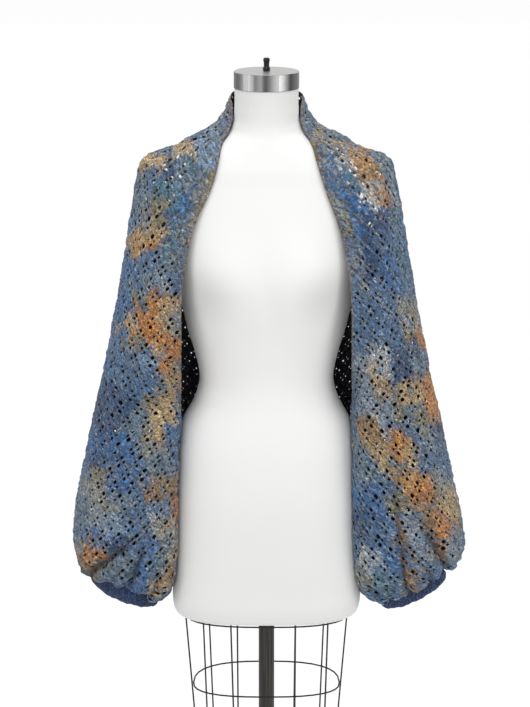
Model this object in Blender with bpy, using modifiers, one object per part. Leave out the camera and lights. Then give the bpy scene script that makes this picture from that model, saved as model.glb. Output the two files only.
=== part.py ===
"""A knitted lace shrug on a limbless dress form.

The shrug is knitted from cuff to cuff. Its panel lies over the back and the shoulders, its long edge stands
round the neck and falls down both fronts, and its ends close into balloon sleeves gathered to ribbed cuffs.
The form stands on a pole and a round base, with a wire skirt cage under its torso.

Metres, +Z up, the front towards -Y. The origin is on the floor under the pole.
"""

import math
from collections import namedtuple

import bpy
import numpy as np

# ---- driving sizes -------------------------------------------------------------------------------------
WALL = 0.003  # thickness of the knitted cloth
GAP = 0.0003  # between pieces that touch
REST_CLEARANCE = 0.0036  # from the form to the middle of the cloth that rests on it
CELL_CLEARANCE = 0.0044  # the same in the middle of each facet of that cloth

NECK_TOP = 1.5710
CAP_TOP = 1.6000
CAP_RADIUS = 0.0562
CAP_EDGE = 0.0012
TORSO_BOTTOM = 0.6360

POLE_RADIUS = 0.0140
BASE_RADIUS = 0.1900
BASE_HEIGHT = 0.0120
COLLAR_RADIUS = 0.0260
COLLAR_HEIGHT = 0.0340

WIRE_RADIUS = 0.0015
CAGE_RINGS = {"top": 0.6310, "middle": 0.5020, "bottom": 0.3730}
CAGE_HALF_WIDTH = 0.1303  # of the middle ring, to the middle of its wire
CAGE_WIDEST = -0.0160  # where from back to front the cage is widest
CAGE_FRONT = 0.0780  # from there to the front of a ring
CAGE_BACK = 0.1150  # from there to its back
CAGE_CORNER = 2.6
WIRE_TOP_GAP = 0.0005  # from the middle of a leaning wire's end up to the torso
CAGE_TAPER = 0.60  # share of its width that the cage gains for each metre of height

AROUND_TORSO = 36
TORSO_LEVELS = 35
ACROSS_CLOTH = 30  # steps across the cloth, from the hem to the front edge
STEPS_PER_SECTION = 2  # steps along the cloth from one section to the next
SHOULDER_STEPS = 3  # the same where the cloth bends over the neck and the shoulder
SHOULDER_END = 5  # the section where that stretch ends
TURNED_STEPS = 32
RING_POINTS = 32

BUST_OUT = 0.017  # how far each side of the bust stands out of the front
BUST_SIDE = 0.078
BUST_HEIGHT = 1.245
BUST_SPREAD = 0.048

# The torso, from the top of the neck to its underside. A row is one level: half the width, the reach to the
# front and to the back, and the exponent that makes the plan an ellipse (2) or squarer.
Level = namedtuple("Level", "height half_width front back corner")
TORSO = (
    Level(NECK_TOP - GAP, 0.0550, 0.0550, 0.0550, 2.0),
    Level(1.5350, 0.0556, 0.0562, 0.0560, 2.0),
    Level(1.5100, 0.0600, 0.0600, 0.0610, 2.0),
    Level(1.4960, 0.0710, 0.0645, 0.0690, 2.0),
    Level(1.4840, 0.1020, 0.0690, 0.0760, 2.0),
    Level(1.4740, 0.1380, 0.0720, 0.0800, 2.1),
    Level(1.4650, 0.1670, 0.0745, 0.0835, 2.2),
    Level(1.4550, 0.1890, 0.0775, 0.0870, 2.2),
    Level(1.4400, 0.2010, 0.0815, 0.0920, 2.3),
    Level(1.4100, 0.2035, 0.0860, 0.0970, 2.4),
    Level(1.3800, 0.1990, 0.0920, 0.1010, 2.4),
    Level(1.3400, 0.1880, 0.0990, 0.1040, 2.4),
    Level(1.2950, 0.1720, 0.1060, 0.1040, 2.3),
    Level(1.2500, 0.1590, 0.1090, 0.1010, 2.2),
    Level(1.2000, 0.1490, 0.1060, 0.0950, 2.2),
    Level(1.1500, 0.1380, 0.0985, 0.0875, 2.2),
    Level(1.1000, 0.1232, 0.0910, 0.0820, 2.2),
    Level(1.0600, 0.1172, 0.0875, 0.0800, 2.2),
    Level(1.0250, 0.1265, 0.0890, 0.0830, 2.2),
    Level(0.9850, 0.1475, 0.0930, 0.0895, 2.3),
    Level(0.9500, 0.1555, 0.0965, 0.0960, 2.4),
    Level(0.9000, 0.1605, 0.1010, 0.1040, 2.4),
    Level(0.8200, 0.1645, 0.1060, 0.1110, 2.6),
    Level(0.7500, 0.1662, 0.1060, 0.1090, 2.8),
    Level(0.6900, 0.1662, 0.1045, 0.1085, 3.0),
    Level(0.6550, 0.1656, 0.1038, 0.1075, 3.0),
    Level(0.6455, 0.1630, 0.1025, 0.1065, 3.0),
    Level(0.6390, 0.1575, 0.1010, 0.1050, 3.0),
    Level(TORSO_BOTTOM, 0.1500, 0.0990, 0.1035, 3.0),
)

# The shrug's sections on the right half, from the middle of the back to where the sleeve closes. A row is one
# section, by five points (x, y, z) on it.
Section = namedtuple("Section", "hem back fold front edge")
BODY = (
    Section(
        (0.000, 0.124, 0.868), (0.000, 0.112, 1.065), (0.000, 0.114, 1.270),
        (0.000, 0.101, 1.425), (0.000, 0.062, 1.552),
    ),
    Section(
        (0.040, 0.123, 0.872), (0.050, 0.113, 1.072), (0.057, 0.114, 1.277),
        (0.052, 0.099, 1.432), (0.041, 0.048, 1.560),
    ),
    Section(
        (0.078, 0.115, 0.886), (0.096, 0.110, 1.090), (0.110, 0.108, 1.300),
        (0.088, 0.082, 1.457), (0.060, 0.016, 1.560),
    ),
    Section(
        (0.110, 0.100, 0.905), (0.138, 0.102, 1.115), (0.160, 0.088, 1.345),
        (0.113, 0.050, 1.481), (0.064, -0.014, 1.522),
    ),
    Section(
        (0.131, 0.080, 0.930), (0.172, 0.092, 1.145), (0.194, 0.048, 1.405),
        (0.144, 0.000, 1.481), (0.075, -0.052, 1.474),
    ),
    Section(
        (0.145, 0.058, 0.955), (0.199, 0.082, 1.175), (0.216, 0.006, 1.432),
        (0.168, -0.056, 1.442), (0.098, -0.079, 1.410),
    ),
    Section(
        (0.152, 0.036, 0.975), (0.220, 0.076, 1.175), (0.231, -0.004, 1.352),
        (0.184, -0.080, 1.345), (0.126, -0.092, 1.335),
    ),
    Section(
        (0.155, 0.016, 0.990), (0.232, 0.076, 1.130), (0.251, -0.005, 1.245),
        (0.202, -0.091, 1.240), (0.144, -0.087, 1.235),
    ),
    Section(
        (0.156, 0.000, 1.000), (0.240, 0.076, 1.065), (0.275, -0.006, 1.120),
        (0.214, -0.095, 1.115), (0.147, -0.078, 1.110),
    ),
)

# The closed sections of the right sleeve, from where it closes down to the cuff. A section is a squared
# ellipse with its outer end tilted up; skew draws its front towards the body and its back away from it.
Ring = namedtuple("Ring", "x y z half_width half_depth tilt_deg skew corner")
SLEEVE = (
    Ring(0.2255, -0.0080, 1.000, 0.0745, 0.088, 0.0, 0.10, 2.5),
    Ring(0.2330, -0.0080, 0.915, 0.0815, 0.090, 0.0, 0.20, 2.6),
    Ring(0.2415, -0.0100, 0.830, 0.0875, 0.092, 2.0, 0.24, 2.7),
    Ring(0.2455, -0.0120, 0.762, 0.0915, 0.090, 6.0, 0.24, 2.7),
    Ring(0.2460, -0.0160, 0.715, 0.0890, 0.078, 12.0, 0.20, 2.5),
    Ring(0.2480, -0.0260, 0.690, 0.0720, 0.050, 20.0, 0.06, 2.3),
    Ring(0.2441, -0.0280, 0.697, 0.0585, 0.030, 24.0, 0.00, 2.1),
)
CLOSING = len(BODY)  # the section where the hem meets the front edge and the sleeve closes
BODY_END = CLOSING + 0.35  # the body runs a little past it, down to the seam with the sleeve
SEAM_STEP = 0.0115  # in sections: the gap at that seam
GATHER_END = CLOSING + 5.2  # below it the sleeve turns up to the cuff and the gathers die out

# The cuff, in the sleeve's columns, from its top inside the gathers down to its mouth.
CUFF = (
    Ring(0.2437, -0.0280, 0.698, 0.0551, 0.0266, 24.0, 0.00, 2.1),
    Ring(0.2490, -0.0285, 0.686, 0.0556, 0.0270, 24.0, 0.00, 2.1),
    Ring(0.2565, -0.0300, 0.668, 0.0600, 0.0290, 24.0, 0.00, 2.1),
)

# The right sleeve hangs a little further out than the left: how far at its lowest, and over which heights.
SWING = 0.008
SWING_FROM = 1.00
SWING_TO = 0.76
SWING_INNER = 0.155  # the inner side stays on the hip
SWING_OUTER = 0.235

# The largest gathers above a cuff. A row is one trough: where it lies across the cloth (0 at the inner seam,
# 0.5 at the outer side), half its width as a share of the way round, its depth, and how far up it reaches.
Gather = namedtuple("Gather", "across half_width depth reach")
GATHERS = (
    Gather(0.06, 0.022, 0.006, 0.09),
    Gather(0.20, 0.026, 0.008, 0.12),
    Gather(0.33, 0.024, 0.007, 0.10),
    Gather(0.46, 0.022, 0.006, 0.08),
    Gather(0.60, 0.024, 0.009, 0.13),
    Gather(0.72, 0.026, 0.008, 0.11),
    Gather(0.84, 0.022, 0.007, 0.12),
    Gather(0.94, 0.020, 0.006, 0.08),
)

# Vertical flutes that the back hem hangs in. A row is one ridge: its place along the cloth in sections from
# the middle of the back, its half width in sections, its depth, and how far up it reaches from the hem.
Flute = namedtuple("Flute", "along half_width depth reach")
FLUTES = (
    Flute(0.0, 0.55, 0.010, 0.30),
    Flute(1.6, 0.45, 0.009, 0.26),
    Flute(3.0, 0.50, 0.008, 0.22),
)

# The upright wires of the cage. A row is one wire, by its angle round the cage at its top and at its bottom,
# in degrees from +X towards the back.
Wire = namedtuple("Wire", "top_deg bottom_deg")
CAGE_WIRES = (
    Wire(1, 5),
    Wire(48, 44),
    Wire(74, 71),
    Wire(106, 109),
    Wire(132, 136),
    Wire(181, 177),
    Wire(224, 218),
    Wire(250, 249),
    Wire(285, 287),
    Wire(314, 321),
)

CLOTH_BLUE = (0.10, 0.18, 0.33)
CUFF_NAVY = (0.03, 0.05, 0.13)
FORM_WHITE = (0.80, 0.80, 0.79)
STEEL = (0.55, 0.55, 0.54)
WIRE_BLACK = (0.02, 0.02, 0.02)
GUNMETAL = (0.10, 0.095, 0.09)


# ---- curves and sections -------------------------------------------------------------------------------
def smooth(knots, rows, at):
    """Rows given at the knots, read at the places `at` on one smooth curve through them."""
    knots, rows, at = (np.asarray(values, float) for values in (knots, rows, at))
    slopes = np.gradient(rows, knots, axis=0)
    first = np.clip(np.searchsorted(knots, at, side="right") - 1, 0, len(knots) - 2)
    spread = (-1,) + (1,) * (rows.ndim - 1)
    step = (knots[first + 1] - knots[first]).reshape(spread)
    part = ((at - knots[first]) / (knots[first + 1] - knots[first])).reshape(spread)
    rise = part * part * (3 - 2 * part)
    leave = part * (1 - part) ** 2
    arrive = part * part * (part - 1)
    start, end = rows[first], rows[first + 1]
    return start + (end - start) * rise + step * (leave * slopes[first] + arrive * slopes[first + 1])


def lengths_along(points, power=1.0):
    """How far along its own line each point lies, with each stretch's length raised to the power."""
    return np.concatenate([[0.0], np.cumsum(np.linalg.norm(np.diff(points, axis=0), axis=1) ** power)])


def spaced_evenly(points, steps):
    """The curve through the points as `steps` steps of one length."""
    along = lengths_along(points)
    at = np.linspace(0, along[-1], steps + 1)
    return np.stack([np.interp(at, along, points[:, axis]) for axis in range(3)], axis=1)


def rounded(angle, corner):
    """Cosine and sine of the angle on a squared circle."""
    cosine, sine = np.cos(angle), np.sin(angle)
    power = 2 / corner
    return np.sign(cosine) * np.abs(cosine) ** power, np.sign(sine) * np.abs(sine) ** power


# ---- the torso as a field ------------------------------------------------------------------------------
def torso_level(height):
    """(half_width, front, back, corner) of the torso at each height."""
    table = np.array(TORSO)[::-1]
    height = np.clip(height, table[0, 0], table[-1, 0])
    return smooth(table[:, 0], table[:, 1:], height).T


def bust(side, height):
    """How far the bust stands out of the front."""
    away = (np.abs(side) - BUST_SIDE) ** 2 + (height - BUST_HEIGHT) ** 2
    return BUST_OUT * np.exp(-away / (2 * BUST_SPREAD**2))


def beyond_torso(points):
    """Under 0 inside the torso, over 0 outside: by what share of its size a point lies beyond its plan."""
    x, y, z = points.T
    half_width, front, back, corner = torso_level(z)
    depth = np.where(y < 0, front + bust(x, z), back)
    return (np.abs(x / half_width) ** corner + np.abs(y / depth) ** corner) ** (1 / corner) - 1


def kept_clear(points, clearance):
    """The points, with those nearer to the torso than the clearance moved straight out to it."""
    shape = points.shape
    points = points.reshape(-1, 3).copy()
    tiny = 1e-5
    for _ in range(12):
        value = beyond_torso(points)
        slope = np.stack([(beyond_torso(points + step) - value) / tiny for step in np.eye(3) * tiny], axis=1)
        steepness = np.maximum(np.linalg.norm(slope, axis=1), 1e-6)
        short = np.clip(clearance - value / steepness, 0, 0.01)
        points += slope * (short / steepness)[:, None]
    return points.reshape(shape)


def cells_kept_clear(grid, clearance):
    """The grid, with the corners of each cell moved out until its middle is clear of the torso too."""
    grid = grid.copy()
    for _ in range(6):
        middles = (grid[1:, 1:] + grid[1:, :-1] + grid[:-1, 1:] + grid[:-1, :-1]) / 4
        move = kept_clear(middles, clearance) - middles
        for rows in (slice(1, None), slice(None, -1)):
            for columns in (slice(1, None), slice(None, -1)):
                grid[rows, columns] += move / 3
    return grid


# ---- the shrug as a surface ----------------------------------------------------------------------------
def body_section(row):
    points = np.array(row)
    knots = lengths_along(points, 0.5)
    return smooth(knots, points, np.linspace(0, knots[-1], 200))


def sleeve_section(row):
    """The inner side, the back, the outer side, the front and the inner side again."""
    x, y, z, half_width, half_depth, tilt, skew, corner = row
    across, deep = rounded(np.linspace(math.pi, -math.pi, 401), corner)
    across, deep = across * half_width + skew * deep * half_depth, deep * half_depth
    tilt = math.radians(tilt)
    return np.stack([x + across * math.cos(tilt), y + deep, z + across * math.sin(tilt)], axis=1)


def bump(distance):
    """1 in the middle, falling smoothly to 0 at a distance of 1."""
    return np.cos(np.clip(np.abs(distance), 0, 1) * math.pi / 2) ** 2


def cloth(along, steps):
    """Points of the right half's surface at the sections `along`, in `steps` steps from the hem to the edge."""
    sections = [body_section(row) for row in BODY] + [sleeve_section(row) for row in SLEEVE]
    rows = np.stack([spaced_evenly(section, steps) for section in sections])
    points = smooth(np.arange(len(rows)), rows, along)
    across = np.linspace(0, 1, steps + 1)
    clear = cells_kept_clear(kept_clear(points, REST_CLEARANCE), CELL_CLEARANCE)
    return fluted(gathered(clear, along, across), along)


def gathered(points, along, across):
    """Presses the gathers above the cuff into the sleeve, towards the middle of each section."""
    middle = points[:, :-1].mean(axis=1, keepdims=True)
    inward = middle - points
    inward /= np.linalg.norm(inward, axis=2, keepdims=True)
    depth = np.zeros(points.shape[:2])
    rise = lengths_along(points[:, len(across) // 2])
    for gather in GATHERS:
        from_cuff = (rise[-1] - rise) / gather.reach
        up = bump(from_cuff) * np.clip(GATHER_END - along, 0, 1) * (along > CLOSING)
        apart = np.abs(across - gather.across)
        sideways = bump(np.minimum(apart, 1 - apart) / gather.half_width)
        depth += gather.depth * up[:, None] * sideways[None, :]
    return points + inward * depth[..., None]


def fluted(points, along):
    """Lets the back hem hang in soft flutes that stand out backwards."""
    points = points.copy()
    above_hem = np.linalg.norm(points - points[:, :1], axis=2)
    for flute in FLUTES:
        ridge = bump((np.asarray(along) - flute.along) / flute.half_width)
        points[..., 1] += flute.depth * ridge[:, None] * bump(above_hem / flute.reach)
    return points


def swung_out(points):
    """The right sleeve or cuff, hanging further out than its mirror image."""
    points = points.copy()
    x, z = points[..., 0], points[..., 2]
    down = np.clip((SWING_FROM - z) / (SWING_FROM - SWING_TO), 0, 1)
    out = np.clip((x - SWING_INNER) / (SWING_OUTER - SWING_INNER), 0, 1)
    points[..., 0] += SWING * down**2 * out
    return points


# ---- building ------------------------------------------------------------------------------------------
def clear_scene():
    for thing in list(bpy.data.objects):
        bpy.data.objects.remove(thing, do_unlink=True)


def material(name, colour, roughness, metallic=0.0):
    made = bpy.data.materials.new(name)
    made.use_nodes = True
    shader = made.node_tree.nodes["Principled BSDF"]
    shader.inputs["Base Color"].default_value = (*colour, 1)
    shader.inputs["Roughness"].default_value = roughness
    shader.inputs["Metallic"].default_value = metallic
    return made


def add_object(collection, name, data, finish):
    made = bpy.data.objects.new(name, data)
    collection.objects.link(made)
    data.materials.append(finish)
    return made


def mesh_of(name, vertices, faces, is_smooth=True):
    mesh = bpy.data.meshes.new(name)
    mesh.from_pydata([tuple(vertex) for vertex in vertices], [], faces)
    mesh.validate()
    if is_smooth:
        mesh.shade_smooth()
    return mesh


def turned(collection, name, profile, finish, height=0.0):
    """A turned solid. The profile is (radius, height) points down its outer side, from the axis or a bore."""
    mesh = bpy.data.meshes.new(name)
    edges = [(index, index + 1) for index in range(len(profile) - 1)]
    if profile[0][0] > 0:
        edges.append((len(profile) - 1, 0))
    mesh.from_pydata([(radius, 0, level) for radius, level in profile], edges, [])
    made = add_object(collection, name, mesh, finish)
    made.location.z = height
    screw = made.modifiers.new("turn", "SCREW")
    screw.steps = screw.render_steps = TURNED_STEPS
    screw.use_merge_vertices = True
    screw.merge_threshold = 0.00005
    screw.use_normal_calculate = False
    return made


def add_wire(collection, name, points, is_ring, finish):
    """A wire of round section along the points."""
    curve = bpy.data.curves.new(name, "CURVE")
    curve.dimensions = "3D"
    curve.bevel_depth = WIRE_RADIUS
    curve.bevel_resolution = 2
    curve.use_fill_caps = not is_ring
    spline = curve.splines.new("POLY")
    spline.points.add(len(points) - 1)
    for target, point in zip(spline.points, points):
        target.co = (*point, 1)
    spline.use_cyclic_u = is_ring
    return add_object(collection, name, curve, finish)


def loft(rows, is_closed):
    """Vertices and faces through rows of points. A row that is_closed names ends where it begins."""
    vertices, index = [], []
    for row, closed in zip(rows, is_closed):
        kept = len(row) - 1 if closed else len(row)
        numbers = list(range(len(vertices), len(vertices) + kept))
        vertices.extend(row[:kept])
        index.append(numbers + numbers[:1] if closed else numbers)
    faces = []
    for here, there in zip(index, index[1:]):
        for step in range(len(here) - 1):
            corners = (here[step], here[step + 1], there[step + 1], there[step])
            faces.append(tuple(dict.fromkeys(corners)))
    return vertices, faces


def mirrored(rows):
    return rows * np.array([-1, 1, 1])


def add_cloth(collection, name, rows, is_closed, finish):
    """A wall of the cloth's thickness on a surface through the rows, as one body open at its ends."""
    vertices, faces = loft(rows, is_closed)
    made = add_object(collection, name, mesh_of(name, vertices, faces), finish)
    wall = made.modifiers.new("wall", "SOLIDIFY")
    wall.thickness = WALL
    wall.offset = 0
    wall.use_even_offset = True
    return made


def make_shrug(collection):
    lace = material("lace_knit", CLOTH_BLUE, 0.9)
    ribs = material("cuff_rib", CUFF_NAVY, 0.9)
    last = len(BODY) + len(SLEEVE) - 1
    shoulder = np.linspace(0, SHOULDER_END, SHOULDER_END * SHOULDER_STEPS + 1)
    front = np.linspace(SHOULDER_END, CLOSING, (CLOSING - SHOULDER_END) * STEPS_PER_SECTION + 1)
    half = np.concatenate([shoulder, front[1:], [BODY_END]])
    right = cloth(half, ACROSS_CLOTH)
    rows = list(mirrored(right[:0:-1])) + list(swung_out(right))
    reach = np.abs(np.concatenate([half[:0:-1], half]))
    add_cloth(collection, "shrug_body", rows, reach >= CLOSING, lace)

    start = BODY_END + SEAM_STEP
    steps = round((last - start) * STEPS_PER_SECTION)
    sleeve = cloth(np.linspace(start, last, steps + 1), ACROSS_CLOTH)
    cuff = np.stack([spaced_evenly(sleeve_section(row), ACROSS_CLOTH) for row in CUFF])
    closed = [True] * len(sleeve)
    add_cloth(collection, "sleeve_right", swung_out(sleeve), closed, lace)
    add_cloth(collection, "sleeve_left", mirrored(sleeve[::-1]), closed, lace)
    add_cloth(collection, "cuff_right", swung_out(cuff), closed, ribs)
    add_cloth(collection, "cuff_left", mirrored(cuff[::-1]), closed, ribs)


def make_torso(collection):
    finish = material("form_cover", FORM_WHITE, 0.75)
    levels = np.linspace(0, len(TORSO) - 1, TORSO_LEVELS)
    heights = np.interp(levels, range(len(TORSO)), [level.height for level in TORSO])
    rows = []
    for height in heights:
        half_width, front, back, corner = torso_level(np.array([height]))[:, 0]
        angle = np.linspace(0, -2 * math.pi, AROUND_TORSO + 1)
        across, deep = rounded(angle, corner)
        across = across * half_width
        reach = np.where(deep < 0, front + bust(across, height), back)
        rows.append(np.stack([across, deep * reach, np.full_like(across, height)], axis=1))
    vertices, faces = loft(rows, [True] * len(rows))
    top = list(range(AROUND_TORSO))
    under = list(range(len(vertices) - AROUND_TORSO, len(vertices)))
    faces += [tuple(reversed(top)), tuple(under)]
    mesh = mesh_of("torso", vertices, faces)
    mesh.set_sharp_from_angle(angle=math.radians(50))
    add_object(collection, "torso", mesh, finish)


def make_head(collection):
    """The cap on the neck, and the knob on the cap."""
    steel = material("brushed_steel", STEEL, 0.35, 1.0)
    black = material("black_plastic", WIRE_BLACK, 0.4)
    edge = CAP_RADIUS - CAP_EDGE
    turned(
        collection,
        "neck_cap",
        [
            (0, CAP_TOP),
            (edge, CAP_TOP),
            (CAP_RADIUS - CAP_EDGE * 0.3, CAP_TOP - CAP_EDGE * 0.3),
            (CAP_RADIUS, CAP_TOP - CAP_EDGE),
            (CAP_RADIUS, NECK_TOP + CAP_EDGE / 2),
            (CAP_RADIUS - CAP_EDGE / 2, NECK_TOP),
            (0, NECK_TOP),
        ],
        steel,
    )
    # (radius, height) of the knob: rounded top, waisted stem, foot ring
    profile = [
        (0.0000, 0.0225),
        (0.0042, 0.0222),
        (0.0056, 0.0208),
        (0.0057, 0.0180),
        (0.0048, 0.0125),
        (0.0046, 0.0080),
        (0.0056, 0.0060),
        (0.0064, 0.0048),
        (0.0064, 0.0008),
        (0.0058, 0.0000),
        (0.0000, 0.0000),
    ]
    turned(collection, "cap_knob", profile, black, CAP_TOP + GAP)


def make_stand(collection):
    """The pole, its collar and the round base."""
    metal = material("gunmetal", GUNMETAL, 0.4, 1.0)
    foot = BASE_HEIGHT + GAP
    pole_top = TORSO_BOTTOM - GAP
    profile = [(0, pole_top), (POLE_RADIUS, pole_top), (POLE_RADIUS, foot), (0, foot)]
    turned(collection, "pole", profile, metal)
    bore = POLE_RADIUS + GAP
    rim = COLLAR_RADIUS - 0.003
    turned(
        collection,
        "base_collar",
        [
            (bore, foot + COLLAR_HEIGHT),
            (rim - 0.004, foot + COLLAR_HEIGHT),
            (rim, foot + COLLAR_HEIGHT - 0.004),
            (COLLAR_RADIUS, foot + 0.004),
            (COLLAR_RADIUS, foot),
            (bore, foot),
        ],
        metal,
    )
    turned(
        collection,
        "base_disc",
        [
            (0, BASE_HEIGHT),
            (BASE_RADIUS - 0.020, BASE_HEIGHT),
            (BASE_RADIUS - 0.006, BASE_HEIGHT - 0.002),
            (BASE_RADIUS - 0.001, BASE_HEIGHT - 0.006),
            (BASE_RADIUS, 0.003),
            (BASE_RADIUS - 0.002, 0),
            (0, 0),
        ],
        metal,
    )


def cage_point(degrees, height, outward):
    """A point of the cage at an angle round it: outward is its distance past the rings' middle line."""
    across, deep = rounded(np.radians([degrees]), CAGE_CORNER)
    reach = CAGE_FRONT if deep[0] < 0 else CAGE_BACK
    x = float(across[0]) * CAGE_HALF_WIDTH * (1 + CAGE_TAPER * (height - CAGE_RINGS["middle"]))
    y = float(deep[0]) * reach
    slant = math.hypot(x / CAGE_HALF_WIDTH**2, y / reach**2)
    out_x = outward * x / CAGE_HALF_WIDTH**2 / slant
    out_y = outward * y / reach**2 / slant
    return x + out_x, CAGE_WIDEST + y + out_y, height


def make_cage(collection):
    """Three rings inside ten straight wires."""
    black = material("black_wire", WIRE_BLACK, 0.35, 0.5)
    for name, height in CAGE_RINGS.items():
        angles = np.linspace(0, 360, RING_POINTS, endpoint=False)
        ring = [cage_point(angle, height, 0) for angle in angles]
        add_wire(collection, f"cage_ring_{name}", ring, True, black)
    top = TORSO_BOTTOM - WIRE_TOP_GAP
    bottom = CAGE_RINGS["bottom"] - WIRE_RADIUS
    beside = 2 * WIRE_RADIUS + GAP
    for number, wire in enumerate(CAGE_WIRES, start=1):
        ends = [cage_point(wire.top_deg, top, beside), cage_point(wire.bottom_deg, bottom, beside)]
        add_wire(collection, f"cage_wire_{number}", ends, False, black)


def main():
    clear_scene()
    parts = bpy.data.collections.new("knitted_shrug_on_dress_form")
    bpy.context.scene.collection.children.link(parts)
    make_shrug(parts)
    make_torso(parts)
    make_head(parts)
    make_stand(parts)
    make_cage(parts)


if __name__ == "__main__":
    main()
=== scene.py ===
import math
from collections import namedtuple

import bpy
import numpy as np
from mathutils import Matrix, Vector


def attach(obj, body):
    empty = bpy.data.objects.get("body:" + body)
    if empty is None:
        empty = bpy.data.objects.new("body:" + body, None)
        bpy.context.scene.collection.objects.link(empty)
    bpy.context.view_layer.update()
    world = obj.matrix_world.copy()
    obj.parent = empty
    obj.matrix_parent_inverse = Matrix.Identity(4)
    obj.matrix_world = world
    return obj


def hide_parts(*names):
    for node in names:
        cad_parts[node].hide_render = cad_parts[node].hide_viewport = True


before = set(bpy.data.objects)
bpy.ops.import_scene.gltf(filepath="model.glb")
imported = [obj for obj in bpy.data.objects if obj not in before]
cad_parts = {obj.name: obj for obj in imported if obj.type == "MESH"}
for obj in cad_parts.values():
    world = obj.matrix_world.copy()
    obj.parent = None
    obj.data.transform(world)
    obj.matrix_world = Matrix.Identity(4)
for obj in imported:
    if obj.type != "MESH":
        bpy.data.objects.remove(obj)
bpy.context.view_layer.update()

# ---- the view ----
PICTURE = (530, 707)
LOOK_AT = (-0.0026, 0.0, 1.103)
DISTANCE = 5.2
ELEVATION = math.radians(13.2)
METRES_PER_PIXEL = 0.00175
SENSOR = 36.0


def add_object(name, data):
    made = bpy.data.objects.new(name, data)
    bpy.context.scene.collection.objects.link(made)
    return made


def make_camera():
    camera = add_object("camera", bpy.data.cameras.new("camera"))
    back = Vector((0, -math.cos(ELEVATION), math.sin(ELEVATION)))
    camera.location = Vector(LOOK_AT) + back * DISTANCE
    camera.rotation_euler = (-back).to_track_quat("-Z", "Y").to_euler()
    camera.data.sensor_width = SENSOR
    camera.data.lens = SENSOR * DISTANCE / (METRES_PER_PIXEL * PICTURE[1])
    camera.data.clip_end = 60
    bpy.context.scene.camera = camera


def seen_at(points):
    """The column and row of the picture at which the camera sees each point."""
    away = points - np.array(LOOK_AT)
    depth = DISTANCE + away[..., 1] * math.cos(ELEVATION) - away[..., 2] * math.sin(ELEVATION)
    up = away[..., 1] * math.sin(ELEVATION) + away[..., 2] * math.cos(ELEVATION)
    per_metre = DISTANCE / METRES_PER_PIXEL / depth
    return PICTURE[0] / 2 + away[..., 0] * per_metre, PICTURE[1] / 2 - up * per_metre


# ---- the form, as the CAD has it ----
CLEARANCE = 0.0042  # from the form to the middle of the cloth
CLEARING_ROUNDS = 8  # of moving out the points that lie closer
CLEARING_STEP = 0.010  # the furthest that one round moves a point
TINY = 1e-5
BUST_OUT = 0.017
BUST_SIDE = 0.078
BUST_HEIGHT = 1.245
BUST_SPREAD = 0.048

# height, half width, reach to the front and to the back, and how squared the plan is
Level = namedtuple("Level", "height half_width front back corner")
TORSO = (
    Level(1.5707, 0.0550, 0.0550, 0.0550, 2.0),
    Level(1.5350, 0.0556, 0.0562, 0.0560, 2.0),
    Level(1.5100, 0.0600, 0.0600, 0.0610, 2.0),
    Level(1.4960, 0.0710, 0.0645, 0.0690, 2.0),
    Level(1.4840, 0.1020, 0.0690, 0.0760, 2.0),
    Level(1.4740, 0.1380, 0.0720, 0.0800, 2.1),
    Level(1.4650, 0.1670, 0.0745, 0.0835, 2.2),
    Level(1.4550, 0.1890, 0.0775, 0.0870, 2.2),
    Level(1.4400, 0.2010, 0.0815, 0.0920, 2.3),
    Level(1.4100, 0.2035, 0.0860, 0.0970, 2.4),
    Level(1.3800, 0.1990, 0.0920, 0.1010, 2.4),
    Level(1.3400, 0.1880, 0.0990, 0.1040, 2.4),
    Level(1.2950, 0.1720, 0.1060, 0.1040, 2.3),
    Level(1.2500, 0.1590, 0.1090, 0.1010, 2.2),
    Level(1.2000, 0.1490, 0.1060, 0.0950, 2.2),
    Level(1.1500, 0.1380, 0.0985, 0.0875, 2.2),
    Level(1.1000, 0.1232, 0.0910, 0.0820, 2.2),
    Level(1.0600, 0.1172, 0.0875, 0.0800, 2.2),
    Level(1.0250, 0.1265, 0.0890, 0.0830, 2.2),
    Level(0.9850, 0.1475, 0.0930, 0.0895, 2.3),
    Level(0.9500, 0.1555, 0.0965, 0.0960, 2.4),
    Level(0.9000, 0.1605, 0.1010, 0.1040, 2.4),
    Level(0.8200, 0.1645, 0.1060, 0.1110, 2.6),
    Level(0.7500, 0.1662, 0.1060, 0.1090, 2.8),
    Level(0.6900, 0.1662, 0.1045, 0.1085, 3.0),
    Level(0.6550, 0.1656, 0.1038, 0.1075, 3.0),
    Level(0.6455, 0.1630, 0.1025, 0.1065, 3.0),
    Level(0.6390, 0.1575, 0.1010, 0.1050, 3.0),
    Level(0.6360, 0.1500, 0.0990, 0.1035, 3.0),
)

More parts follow.
